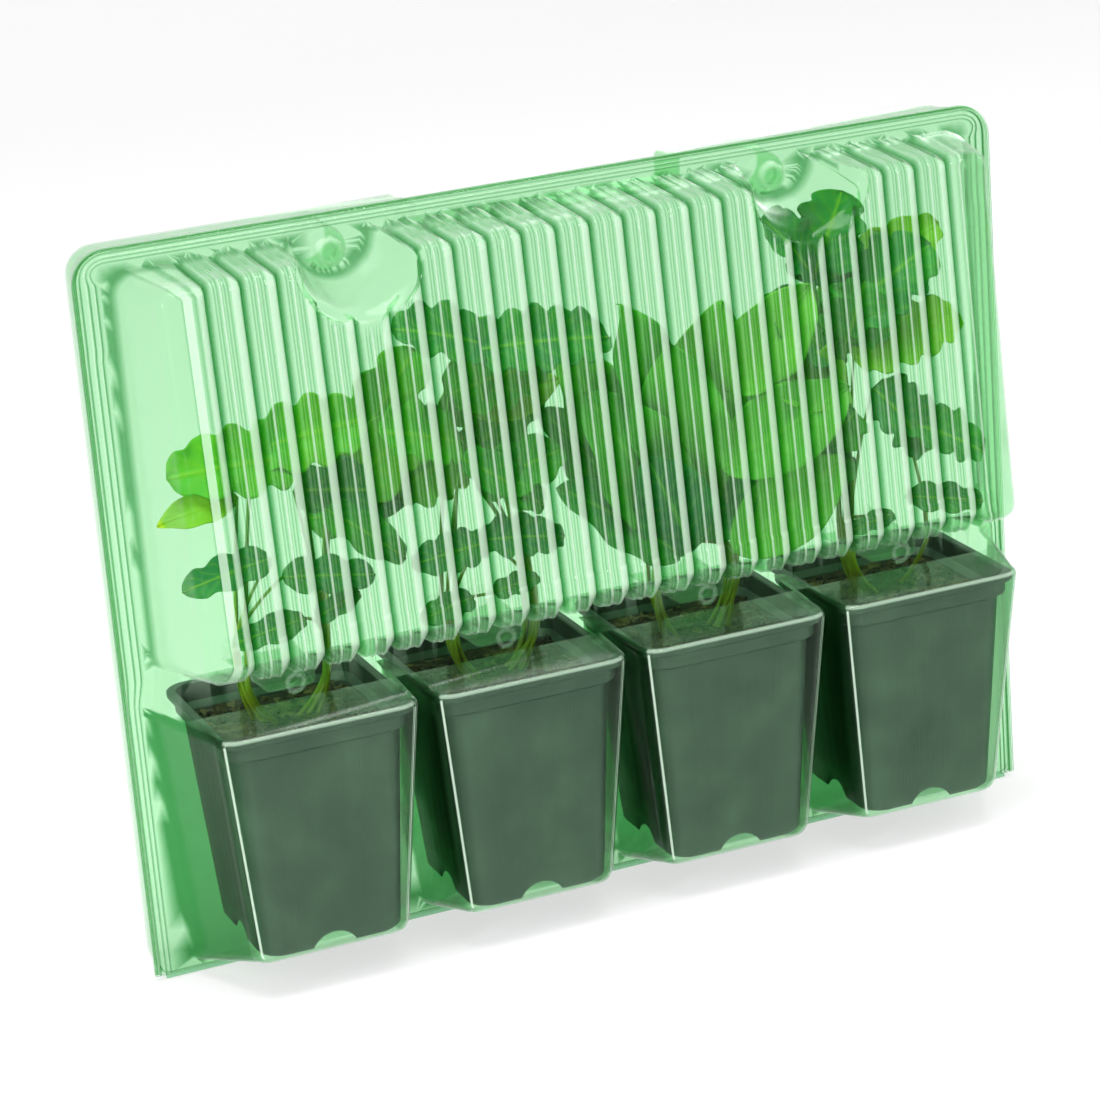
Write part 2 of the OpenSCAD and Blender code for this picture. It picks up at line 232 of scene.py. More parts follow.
def peat():
    """Damp peat mix with fibre: dark brown crumbs, paler dry bits and a dull wet sheen."""
    made, tree = material("damp peat potting mix")
    place = add(tree, "ShaderNodeTexCoord").outputs["Object"]
    # Crumbs of 2 to 5 mm over slow damp patches of about 20 mm
    crumb = add(tree, "ShaderNodeTexVoronoi", {"Vector": place, "Scale": 330.0})
    damp = add(tree, "ShaderNodeTexNoise", {"Vector": place, "Scale": 70.0, "Detail": 6.0})
    fine = add(tree, "ShaderNodeTexNoise", {"Vector": place, "Scale": 900.0, "Detail": 5.0})
    crumbs = add(tree, "ShaderNodeSeparateColor", {"Color": crumb.outputs["Color"]})
    mixed = add(tree, "ShaderNodeMath",
                {0: crumbs.outputs[0], 1: 0.45, 2: damp.outputs["Fac"]}, operation="MULTIPLY_ADD")
    colour = ramp(tree, mixed.outputs[0],
                  [(0.35, linear("#1c140c")), (0.6, linear("#33251a")), (0.8, linear("#4d3a26")),
                   (0.97, linear("#7a6440"))])
    bump = add(tree, "ShaderNodeBump",
               {"Height": fine.outputs["Fac"], "Strength": 0.8, "Distance": 0.0008})
    shader = add(tree, "ShaderNodeBsdfPrincipled",
                 {"Base Color": colour, "Roughness": 0.82, "Normal": bump.outputs["Normal"]})
    finish_material(tree, shader.outputs[0])
    return made


def living_leaf(name, dark, mid, light, glow):
    """Living leaf, waxy on top: the blade's green shifts in soft patches, veins run paler, light
    glows yellow-green through it, and the wax gives a broad soft sheen."""
    made, tree = material(name)
    place = add(tree, "ShaderNodeTexCoord").outputs["Object"]
    # Patches of about 17 mm, and the skin's cells drawn 1.4 mm wide, coarser than life, to show
    patch = add(tree, "ShaderNodeTexNoise", {"Vector": place, "Scale": 60.0, "Detail": 4.0})
    cell = add(tree, "ShaderNodeTexVoronoi", {"Vector": place, "Scale": 700.0})
    vein = add(tree, "ShaderNodeAttribute", attribute_name="vein")
    tone = add(tree, "ShaderNodeAttribute", attribute_name="tone")
    shift = add(tree, "ShaderNodeMath", {0: patch.outputs["Fac"], 1: 0.5, 2: tone.outputs["Fac"]},
                operation="MULTIPLY_ADD")
    blade = ramp(tree, shift.outputs[0],
                 [(0.25, linear(dark)), (0.6, linear(mid)), (0.95, linear(light))])
    colour = add(tree, "ShaderNodeMix",
                 {0: vein.outputs["Fac"], 6: blade, 7: linear(light)}, data_type="RGBA")
    bump = add(tree, "ShaderNodeBump",
               {"Height": cell.outputs["Distance"], "Strength": 0.3, "Distance": 0.0003})
    shader = add(tree, "ShaderNodeBsdfPrincipled",
                 {"Base Color": colour.outputs[2], "Roughness": 0.45, "IOR": 1.38,
                  "Normal": bump.outputs["Normal"]})
    lit = add(tree, "ShaderNodeBsdfTranslucent", {"Color": linear(glow)})
    both = add(tree, "ShaderNodeMixShader", {0: 0.28, 1: shader.outputs[0], 2: lit.outputs[0]})
    finish_material(tree, both.outputs[0])
    return made


def stem_skin():
    """Living stem: pale yellow-green in soft patches, with an olive flush near the soil."""
    made, tree = material("living seedling stem")
    place = add(tree, "ShaderNodeTexCoord").outputs["Object"]
    # Patches of about 6 mm; the flush fades out between 90 and 160 mm over the floor
    high = add(tree, "ShaderNodeSeparateXYZ", {"Vector": place})
    patch = add(tree, "ShaderNodeTexNoise", {"Vector": place, "Scale": 180.0, "Detail": 3.0})
    rise = add(tree, "ShaderNodeMapRange",
               {"Value": high.outputs["Z"], "From Min": 0.09, "From Max": 0.16})
    flush = add(tree, "ShaderNodeMath", {0: patch.outputs["Fac"], 1: 0.4, 2: rise.outputs[0]},
                operation="MULTIPLY_ADD")
    colour = ramp(tree, flush.outputs[0],
                  [(0.1, linear("#8a7a1e")), (0.5, linear("#9cae26")), (1.0, linear("#7fae3a"))])
    shader = add(tree, "ShaderNodeBsdfPrincipled",
                 {"Base Color": colour, "Roughness": 0.4, "Subsurface Weight": 0.1,
                  "Subsurface Scale": 0.002})
    finish_material(tree, shader.outputs[0])
    return made


# ---------------------------------------------------------------- mesh helpers


class Patches:
    """Patches of one piece, in millimetres, that join where their edges meet."""

    def __init__(self):
        self.points = []
        self.faces = []
        self.marks = {}

    def add(self, points, faces, **marks):
        """One patch. marks are named numbers for its points, 0 where a patch gives none."""
        start = len(self.points)
        points = np.asarray(points, float)
        self.points.extend(points.tolist())
        self.faces.extend([tuple(start + i for i in face) for face in faces])
        for name, values in marks.items():
            row = self.marks.setdefault(name, [])
            row.extend([0.0] * (start - len(row)))
            row.extend(np.broadcast_to(values, len(points)).tolist())

    def grid(self, rows, closed=False, **marks):
        """Quads between rows of points. Closed joins each row's end to its start."""
        rows = np.asarray(rows, float)
        m, n = rows.shape[:2]
        step = n if closed else n - 1
        faces = [(i * n + j, i * n + (j + 1) % n, (i + 1) * n + (j + 1) % n, (i + 1) * n + j)
                 for i in range(m - 1) for j in range(step)]
        flat_marks = {name: np.asarray(values).reshape(-1) for name, values in marks.items()}
        self.add(rows.reshape(-1, 3), faces, **flat_marks)

    def flat(self, outline, holes, lift):
        """Triangles that fill a flat outline round its holes. lift turns flat rows to 3D points."""
        rings = [np.asarray(r, float) for r in [outline] + list(holes)]
        points, edges = [], []
        for ring in rings:
            start = len(points)
            points.extend(Vector(p) for p in ring.tolist())
            n = len(ring)
            edges.extend((start + i, start + (i + 1) % n) for i in range(n))
        made, _, faces, _, _, _ = delaunay_2d_cdt(points, edges, [], 0, 1e-4)
        made = np.array([[p.x, p.y] for p in made])
        kept = [f for f in faces
                if inside(made[list(f)].mean(0), rings[0])
                and not any(inside(made[list(f)].mean(0), r) for r in rings[1:])]
        self.add(lift(made), kept)

    def object(self, name, mat, body, thickness=0.0, join=0.01, sharp=40.0, rim_mat=None,
               weighted=True):
        """The patches as one object in the frame's place and metres, riding on a body. Points
        closer than join become one, thickness makes a sheet of the faces, and edges turn sharp
        past an angle."""
        points = np.array(self.points) * MM
        points[:, 1] += PARTING_Y * MM
        data = bpy.data.meshes.new(name)
        data.from_pydata(points.tolist(), [], self.faces)
        for mark, values in self.marks.items():
            values = values + [0.0] * (len(points) - len(values))
            data.attributes.new(mark, "FLOAT", "POINT").data.foreach_set("value", values)
        work = bmesh.new()
        work.from_mesh(data)
        bmesh.ops.remove_doubles(work, verts=work.verts, dist=join * MM)
        bmesh.ops.dissolve_degenerate(work, edges=work.edges, dist=1e-6)
        bmesh.ops.recalc_face_normals(work, faces=work.faces)
        loose = [v for v in work.verts if not v.link_faces]
        bmesh.ops.delete(work, geom=loose, context="VERTS")
        for face in work.faces:
            face.smooth = True
        work.to_mesh(data)
        work.free()
        data.set_sharp_from_angle(angle=math.radians(sharp))
        data.materials.append(mat)
        if rim_mat:
            data.materials.append(rim_mat)
        made = bpy.data.objects.new(name, data)
        bpy.context.scene.collection.objects.link(made)
        if thickness:
            solid = made.modifiers.new("sheet", "SOLIDIFY")
            solid.thickness = thickness * MM
            solid.offset = 0.0
            solid.material_offset_rim = 1 if rim_mat else 0
        if weighted:
            even = made.modifiers.new("even shading", "WEIGHTED_NORMAL")
            even.keep_sharp = True
        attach(made, body)
        return made


def inside(point, ring):
    """True if a flat point is inside a closed ring of points."""
    x, y = point
    a, b = ring, np.roll(ring, -1, axis=0)
    crosses = (a[:, 1] > y) != (b[:, 1] > y)
    span = np.where(crosses, b[:, 1] - a[:, 1], 1.0)
    at = a[:, 0] + (y - a[:, 1]) * (b[:, 0] - a[:, 0]) / span
    return bool(np.count_nonzero(crosses & (x < at)) % 2)


def at_depth(flat, y):
    """Flat points of the x-z plane as 3D points at depth y."""
    return np.column_stack([flat[:, 0], np.full(len(flat), float(y)), flat[:, 1]])


def circle(x, z, r, n=28):
    """Points of a circle in the x-z plane."""
    a = np.arange(n) * 2 * math.pi / n
    return np.stack([x + r * np.cos(a), z + r * np.sin(a)], 1)


def revolve(patches, x, z, profile, n=28, ring=None):
    """A round form about an axis along the depth, from (radius, y) pairs. ring is the span of
    radii that gets a painted highlight, a white ring standing in for the lamps' reflection."""
    rows = []
    # Painted highlight on the ring of radii
    pale = [0.35 if ring and ring[0] <= r <= ring[1] else 0.0 for r, _ in profile]
    for r, y in profile:
        rows.append(at_depth(circle(x, z, max(r, 0.001), n), y))
    patches.grid(rows, closed=True, pale=np.repeat(pale, n).reshape(-1, n))


def arc(cx, cz, r, start, end, n):
    """Points of an arc in the plane, with both ends, in degrees."""
    a = np.radians(np.linspace(start, end, n))
    return np.stack([cx + r * np.cos(a), cz + r * np.sin(a)], 1)


# ---------------------------------------------------------------- rim of both shells

# Each bead's place across the band, its height in millimetres and its half width as a share
BEADS = ((0.22, 0.55, 0.11), (0.53, 0.6, 0.11), (0.80, 0.45, 0.10))
# Where the band has points across its width, closest on the beads
BAND = np.array([0, 0.06, 0.11, 0.15, 0.19, 0.22, 0.25, 0.29, 0.34, 0.42, 0.46, 0.50, 0.53, 0.56,
                 0.60, 0.65, 0.71, 0.75, 0.80, 0.85, 0.90, 1.0])


def rim_path():
    """The rim's outer edge from the bottom left round the top to the bottom right, with the inward
    direction at each point."""
    r = RIM_CORNER
    side = np.concatenate([np.arange(RIM_Z, 98, 8), [98, 101, 104, 107, 110, 113, 116],
                           np.arange(124, 222, 9), [222.5, 224.5, 226.5], [236, 244]])
    top = np.arange(r - HALF_W + 7, HALF_W - r, 7)
    left = np.array([[-HALF_W, z] for z in side])
    turn = arc(r - HALF_W, PACK_TOP - r, r, 180, 90, 12)
    half = np.concatenate([left, turn])
    inward = np.concatenate([np.tile([1.0, 0.0], (len(left), 1)),
                             (np.array([r - HALF_W, PACK_TOP - r]) - turn) / r])
    over = np.array([[x, PACK_TOP] for x in top])
    points = np.concatenate([half, over, half[::-1] * [-1, 1]])
    ways = np.concatenate([inward, np.tile([0.0, -1.0], (len(over), 1)), inward[::-1] * [-1, 1]])
    return points, ways


def rim_band(patches, widths, mid, push):
    """The beaded edge band. widths gives the band's width at each path point. Returns its inner
    edge as flat points."""
    points, ways = rim_path()
    height = sum(h * bump_at(BAND, at, half) for at, h, half in BEADS)
    # Painted shade: a deeper green line just beside each bead. Painted highlight: a white line
    # along each bead's crest.
    dark = sum(0.9 * bump_at(BAND, at + half * 0.6, 0.05) for at, h, half in BEADS)
    light = sum(0.5 * bump_at(BAND, at, 0.05) for at, h, half in BEADS)
    rows = []
    for p, w, width in zip(points, ways, widths(points)):
        flat = p + np.outer(BAND, w) * width
        rows.append(np.column_stack([flat[:, 0], mid + push * height, flat[:, 1]]))
    ones = np.ones((len(rows), 1))
    patches.grid(rows, fold=dark * ones, pale=light * ones)
    return np.array([[row[-1][0], row[-1][2]] for row in rows])


# ---------------------------------------------------------------- front shell

POCKET_R = 8.0
FLOOR_ROUND = 4.0
SHELF_ROUND = 2.4
FACE_CUTS = 14
# The floor of a pocket rises from its front to the rim
FLOOR_FRONT_Z = 4.8
FLOOR_RIM_Z = 14.3
# The pot's half width at its foot and the room left in front of it
POT_FOOT_HALF = 26
POT_ROOM = 1.2
# Points round a pocket: angles of its front corner, close at its painted highlight line, and depths
# of its side
TURN = np.array([0, 12, 24, 36, 41.5, 43, 47, 48.5, 54, 66, 78, 90.0])
SIDE_Y = np.array([0, 4, 9, 14, WAIST_DEPTH, 26, 33, FRONT_DEPTH - POCKET_R])
# The side point that meets the waist's front wall
AT_WAIST = 4
SQUEEZE = (FRONT_DEPTH - 0.3 + FRONT_MID) / FRONT_DEPTH


def on_sheet(points):
    """Depths of the front shell pressed in by half a sheet, so that it stays in its box."""
    points = np.array(points, float)
    points[..., 1] = FRONT_MID + points[..., 1] * SQUEEZE
    return points


def pocket_ring(k, t, inset, drop=0.0):
    """One turn round pocket k, from its right end at the rim, by the front, to its left end.
    t is 0 at the sloping floor and 1 at the shelf, inset moves the wall in and drop moves it up."""
    base_y = POT_FOOT_HALF - POT_Y + POT_ROOM
    low = dict(front=28.4, side=PITCH / 2 - 5.6, depth=base_y)
    high = dict(front=36.2, side=PITCH / 2 + 0.4, depth=FRONT_DEPTH)
    outer = HALF_W - 6.9 - POT_X[3]
    ends = []
    for last in (k == 3, k == 0):
        ends.append((outer - 6 if last else low["side"], outer if last else high["side"]))
    front = low["front"] + (high["front"] - low["front"]) * t - inset
    depth = low["depth"] + (high["depth"] - low["depth"]) * t - inset
    r = POCKET_R - inset
    limit = PITCH / 2 - 0.2

    def side(pair, last):
        rim = pair[0] + (pair[1] - pair[0]) * t - inset
        y = SIDE_Y / SIDE_Y[-1] * (depth - r)
        x = rim + (front - rim) * y / y[-1]
        return np.column_stack([x if last else np.minimum(x, limit), -y])

    right = side(ends[0], k == 3)
    left = side(ends[1], k == 0)[::-1] * [-1, 1]
    turn = np.radians(TURN)
    a1 = np.stack([front - r + r * np.cos(turn), r - depth - r * np.sin(turn)], 1)[1:]
    a2 = a1[::-1] * [-1, 1]
    face = np.column_stack([np.linspace(front - r, r - front, FACE_CUTS + 1)[1:-1],
                            np.full(FACE_CUTS - 1, -depth)])
    flat = np.concatenate([right, a1, face, a2, left])
    slope = (FLOOR_RIM_Z - FLOOR_FRONT_Z) / base_y
    floor = FLOOR_FRONT_Z - slope * np.maximum(flat[:, 1], -base_y)
    z = floor + (SHELF_Z - floor) * t + drop
    return np.column_stack([flat[:, 0] + POT_X[k], flat[:, 1], z])


def across(ring, first):
    """Fills the inside of a pocket ring from its side point first to its front face."""
    n = len(ring)
    last = len(SIDE_Y) + len(TURN) - 2
    face = ring[last:n - last]
    rows = []
    for j in range(first, last):
        share = np.linspace(0, 1, FACE_CUTS + 1)[:, None]
        rows.append(ring[j] * (1 - share) + ring[n - 1 - j] * share)
    rows.append(face)
    return rows


def pocket(patches, k):
    """One pot pocket. Returns its rings from the floor up to the shelf."""
    span = SHELF_Z - 9.5
    rings = []
    for a in np.linspace(0, 90, 6)[:-1]:
        s = math.radians(a)
        rings.append(pocket_ring(k, 0, FLOOR_ROUND * (1 - math.sin(s)),
                                 FLOOR_ROUND * (1 - math.cos(s))))
    patches.grid(across(rings[0], 0))
    start = FLOOR_ROUND / span
    end = 1 - SHELF_ROUND / span
    for t in np.linspace(start, end, 12):
        rings.append(pocket_ring(k, t, 0))
    for a in np.linspace(0, 90, 6)[1:]:
        s = math.radians(a)
        t = end + (1 - end) * math.sin(s)
        ring = pocket_ring(k, t, SHELF_ROUND * (1 - math.cos(s)))
        rings.append(ring)
    rings[-1][:, 2] = SHELF_Z
    # Painted shade: the side walls get the deepest green. Painted highlights: a white line down the
    # turns between them and the front, for the lamps' reflection in each corner, and a fainter one
    # along the shelf's round edge
    n = len(rings[0])
    from_front = np.abs(np.arange(n) - (n - 1) / 2) - FACE_CUTS / 2
    flank = np.clip(from_front - 6, 0, 5) / 5 * 0.8
    line = np.where((from_front >= 5) & (from_front <= 6), 1.1, 0.0)
    level = np.zeros(len(rings))
    level[4:-5] = 1
    edge = np.zeros(len(rings))
    edge[-4:-2] = 0.5
    patches.grid(rings, fold=flank * np.ones((len(rings), 1)),
                 pale=line * level[:, None] + edge[:, None] * (from_front < 8))
    patches.grid(across(rings[-1], AT_WAIST))
    return rings


RIB_COUNT = 22
RIB_PITCH = 12.3
RIB_END = RIB_COUNT * RIB_PITCH / 2
# One rib's section: place along the pitch from valley to valley, height over the dome's base form,
# its painted shade (a deeper green in the valleys and grooves) and its painted highlight (white
# stripes on the flanks, for the room's reflection)
RIB_SECTION = (
    (0.0, -1.6, 0.95, 0), (0.03, -1.4, 0.85, 0), (0.075, -0.2, 0.5, 0), (0.115, 0.6, 0.2, 0),
    (0.15, 0.88, 0.1, 0.1), (0.19, 0.98, 0.0, 0.1), (0.235, 0.88, 0.32, 0), (0.275, 0.98, 0.0, 0.1),
    (0.32, 0.88, 0.32, 0), (0.345, 1.1, 0.2, 0), (0.365, 1.38, 0.0, 0), (0.372, 1.37, 0.0, 0.9),
    (0.425, 0.96, 0.0, 0.9), (0.434, 0.9, 0.35, 0), (0.485, 0.98, 0.0, 0.1), (0.53, 0.88, 0.32, 0),
    (0.575, 0.98, 0.0, 0.1), (0.62, 0.9, 0.32, 0), (0.655, 1.2, 0.1, 0), (0.68, 1.48, 0.0, 0),
    (0.688, 1.46, 0.0, 1), (0.955, -0.8, 0.0, 1), (0.964, -0.9, 0.5, 0), (0.987, -1.35, 0.9, 0))
# The plain strips beyond the ribs, from the last valley outward: left of the ribs, then right;
# their last two columns are painted shade and painted highlight as above
LEFT_STRIP = ((0.4, -1.3, 0.6, 0), (0.5, -1.2, 0.0, 0.9), (4.3, 1.3, 0.0, 0.9), (4.4, 1.38, 0.0, 0),
              (5.2, 1.5, 0.3, 0), (7.2, 1.5, 0.0, 0), (7.3, 1.48, 0, 0.7), (11.3, 1.1, 0, 0.7),
              (11.4, 1.06, 0.3, 0), (12.6, 1.5, 0.0, 0), (13.8, 1.5, 0.0, 0))
RIGHT_STRIP = ((0.4, -1.4, 0.8, 0), (0.95, -0.2, 0.5, 0), (1.5, 0.7, 0.2, 0), (2.1, 1.2, 0.0, 0.1),
               (3.4, 1.45, 0.0, 0), (5.2, 1.5, 0.2, 0), (5.3, 1.48, 0, 0.8), (6.3, 1.1, 0, 0.8),
               (6.4, 1.06, 0.3, 0), (7.8, 1.5, 0.25, 0), (9.4, 1.5, 0.0, 0), (12.0, 1.5, 0.0, 0))


def rib_columns():
    """Places along the width of every column of the dome's face, each one's rib height, painted
    shade and painted highlight."""
    rows = [(-RIB_END - d, h, g, w) for d, h, g, w in LEFT_STRIP[::-1]]
    for i in range(RIB_COUNT):
        start = -RIB_END + i * RIB_PITCH
        rows.extend((start + at * RIB_PITCH, h, g, w) for at, h, g, w in RIB_SECTION)
    rows.append((RIB_END, *RIB_SECTION[0][1:]))
    rows.extend((RIB_END + d, h, g, w) for d, h, g, w in RIGHT_STRIP)
    rows.insert(0, (-DOME_FACE_HALF, 1.5, 0.0, 0.0))
    rows.append((DOME_FACE_HALF, 1.5, 0.0, 0.0))
    return np.array(rows, float).T


DOME_LOW_DEPTH = 46.5
DOME_TOP_DEPTH = 33.6


def dome_depth(z):
    """Depth of the dome's base form at a height, with the small step above its lower edge."""
    base = DOME_LOW_DEPTH + (DOME_TOP_DEPTH - DOME_LOW_DEPTH) * (z - DOME_Z) / (DOME_TOP - DOME_Z)
    return base - 0.45 * smooth(z, DOME_Z + 12.2, DOME_Z + 13.2)


def dome_place(c, zf, half, lo, hi, r):
    """Where column c (as placed on the face) and row share zf fall on an outline with round
    corners. All may be arrays."""
    c, zf, half, lo, hi, r = np.broadcast_arrays(c, zf, half, lo, hi, r)
    size = np.abs(c)
    x = np.where(size <= RIB_END, size,
                 RIB_END + (size - RIB_END) * (half - RIB_END) / (DOME_FACE_HALF - RIB_END))
    z = lo + zf * (hi - lo)
    mid, tall = (lo + hi) / 2, (hi - lo) / 2
    a = (x - (half - r)) / r
    b = (np.abs(z - mid) - (tall - r)) / r
    corner = (a > 0) & (b > 0)
    a, b = np.clip(a, 0, 1), np.clip(b, 0, 1)
    x = np.where(corner, half - r + r * a * np.sqrt(1 - b * b / 2), x)
    z = np.where(corner, mid + np.sign(z - mid) * (tall - r + r * b * np.sqrt(1 - a * a / 2)), z)
    return np.sign(c) * x, z


# Each scallop is a cone along the depth, over a stud: the height of its axis, its radius at the
# rim, how much that grows by the dome's front, and how far over the axis the press starts
BOWL_Z = PACK_TOP - 7
BOWL_REACH = 12.5
BOWL_FLARE = 8.5
BOWL_UP = 16.0


def scallop(points):
    """Presses the two bowls for the top studs into the dome: any point inside a bowl's cone moves
    down onto it. Also returns where the sheet keeps its ribs: 1 outside the bowls, 0 in them."""
    points = np.array(points, float)
    kept = np.ones(points.shape[:-1])
    for side in (-1, 1):
        dx = points[..., 0] - side * STUD_X
        dz = points[..., 2] - BOWL_Z
        depth = -points[..., 1]
        front = dome_depth(np.clip(points[..., 2], DOME_Z, DOME_TOP))
        reach = (BOWL_REACH + BOWL_FLARE * depth / DOME_TOP_DEPTH
                 + 2.2 * smooth(depth, front - 4.0, front + 1.8))
        d = np.stack([dx, dz - BOWL_UP], -1)
        length = np.linalg.norm(d, axis=-1) + 1e-9
        d = d / length[..., None]
        along = -d[..., 1] * BOWL_UP
        hit = along + np.sqrt(np.maximum(along ** 2 - (BOWL_UP ** 2 - reach ** 2), 0))
        move = (dx ** 2 + dz ** 2 < reach ** 2) & (hit > length)
        points[..., 0] = np.where(move, side * STUD_X + d[..., 0] * hit, points[..., 0])
        points[..., 2] = np.where(move, BOWL_Z + BOWL_UP + d[..., 1] * hit, points[..., 2])
        kept = np.where(move, 0.0, kept)
    return points, kept


def dome(patches):
    """The ribbed dome and the waist's end walls. Returns their edge at the rim from the left foot
    to the right one, the dome's lower edge at the waist's front from left to right, the end
    walls' front edges from the top down, and the depth share and x of each foot point."""
    side_r, top_r, low_r = 5.0, 3.2, 6.0
    cols, ribs, green, white = rib_columns()
    rows = np.concatenate([[0, 0.012, 0.026, 0.038, 0.048, 0.052, 0.056, 0.060, 0.07, 0.1],
                           np.linspace(0.16, 0.86, 15), [0.885, 0.905, 0.925, 0.945, 0.96, 0.972,
                                                         0.985, 1.0]])
    lo, hi = DOME_Z + low_r, DOME_TOP - top_r

    # The ribbed face
    c, f = np.meshgrid(cols, rows)
    x, z = dome_place(c, f, DOME_FACE_HALF - side_r, lo, hi, 3.0)
    y = -(dome_depth(z) + ribs[None, :])
    face, kept = scallop(np.stack([x, y, z], -1))
    # Painted shade and painted highlights of the rib section, left out in the bowls
    patches.grid(face, fold=kept * green, pale=kept * white)

    # Ring round the face: left side up, top to the right, right side down, bottom to the left
    n, m = len(cols), len(rows)

    def round_face(values):
        """A column's value at every point of the ring."""
        return np.concatenate([np.full(m, values[0]), values[1:], np.full(m - 1, values[-1]),
                               values[-2:0:-1]])

    ring_c, ring_h, ring_fold, ring_pale = (round_face(v) for v in (cols, ribs, green, white))
    ring_f = np.concatenate([rows, np.full(n - 1, 1.0), rows[-2::-1], np.zeros(n - 2)])
    top = ring_f >= 1
    low = ring_f <= 0
    sign = np.where(top, 1.0, np.where(low, -1.0, 0.0))
    deep_valley = np.where(low, np.where(ring_h < 0, 1.0, 0.0), 0.0)

    def ring(a, t, fade):
        """The ring at fillet angle a and, past the fillet, with share t of the wall left."""
        s = math.radians(a)
        half = DOME_FACE_HALF - side_r * (1 - math.sin(s))
        z0 = DOME_Z + low_r * (1 - math.sin(s))
        z1 = DOME_TOP - top_r * (1 - math.sin(s))
        r = 3 + 2 * math.sin(s)
        if t < 1:
            half = DOME_HALF + (half - DOME_HALF) * t
            z0 = DOME_RIM_Z + (z0 - DOME_RIM_Z) * t
            z1 = DOME_TOP + 1.6 + (z1 - DOME_TOP - 1.6) * t
            r = 8 + (r - 8) * t
        x, z = dome_place(ring_c, ring_f, half, z0, z1, r)
        face_z = np.clip(z, DOME_Z, DOME_TOP)
        round_r = np.where(top, top_r, np.where(low, low_r, side_r))
        round_r = np.where(sign == 0, side_r + (top_r - side_r) * smooth(ring_f, 0.9, 1)
                           + (low_r - side_r) * (1 - smooth(ring_f, 0, 0.1)), round_r)
        full = dome_depth(face_z)
        y = -(full - round_r * (1 - math.cos(s)))
        y = y * t
        rise = ring_h - deep_valley * 1.3 * math.sin(s) * (1 if t >= 1 else t)
        rise = rise * fade
        z = z + sign * rise * math.sin(s) * np.where(np.abs(ring_c) <= RIB_END + 3, 1.0, 0.0)
        y = y - rise * math.cos(s)
        return np.stack([x, y, z], -1)

    fillet = [ring(a, 1.0, 1.0) for a in np.linspace(0, 90, 8)]
    waist_share = WAIST_DEPTH / (-fillet[-1][:, 1])
    walls = []
    for step in np.linspace(0, 1, 6)[1:]:
        t = 1 + (waist_share - 1) * step
        rows_at = ring_at(ring, t, np.where(low, 1 - step, 1 - 0.1 * step))
        walls.append(rows_at)
    walls[-1][:, 1] = -WAIST_DEPTH
    closed, kept = zip(*[scallop(r) for r in fillet + walls])
    # The painted highlight fades over the fillet into the wall
    fades = np.maximum(0.35, 1 - np.arange(len(closed)) / 4)[:, None]
    patches.grid(closed, closed=True, fold=ring_fold * kept, pale=ring_pale * kept * fades)

    # From the waist's depth back to the rim, on the left, the top and the right only
    open_to = m + n - 1 + m - 1
    back = [closed[-1][:open_to]]
    for step in 1 - SIDE_Y[AT_WAIST - 1::-1] / WAIST_DEPTH:
        t = waist_share * (1 - step)
        raw = ring_at(ring, t, 0.9 - 0.1 * step)
        back.append(scallop(raw)[0][:open_to])
    back[-1][:, 1] = 0.0
    back = np.array(back)
    # The waist's end walls, on down to the shelf
    foot_front = pocket_ring(3, 1.0, SHELF_ROUND)[AT_WAIST, 0]
    depths = -back[:, 0, 1] / WAIST_DEPTH
    foot_x = DOME_HALF + (foot_front - DOME_HALF) * depths
    ends, fronts = [], []
    for side, column in ((-1, 0), (1, open_to - 1)):
        rows_down = []
        for share in np.linspace(0, 1, 5):
            edge = back[:, column].copy()
            edge[:, 0] = edge[:, 0] * (1 - share) + side * foot_x * share
            edge[:, 2] = edge[:, 2] * (1 - share) + SHELF_Z * share
            rows_down.append(edge)
        patches.grid(rows_down)
        ends.append(np.array([row[-1] for row in rows_down]))
        fronts.append(np.array([row[0] for row in rows_down]))
    # Painted shade: a deeper green along the wall's foot at the rim; the ribs' painted highlight
    # carries on at a third
    foot = np.zeros((len(back), 1))
    foot[-2:] = 0.6
    patches.grid(back, fold=np.maximum(ring_fold[:open_to] * kept[-1][:open_to], foot),
                 pale=0.3 * ring_pale[:open_to] * kept[-1][:open_to] * np.ones((len(back), 1)))
    rim_edge = np.concatenate([ends[0][::-1], back[-1][1:-1], ends[1]])
    low_ring = closed[-1][open_to:]
    lower = np.concatenate([closed[-1][:1], low_ring[::-1], closed[-1][open_to - 1:open_to]])
    return rim_edge, lower, fronts, depths, foot_x


def ring_at(ring, t, fade):
    """A dome ring whose share of the way out differs from point to point."""
    t = np.asarray(t, float)
    inner, outer = ring(90, 1.0, fade), ring(90, 0.0, fade)
    return outer + (inner - outer) * t[:, None]


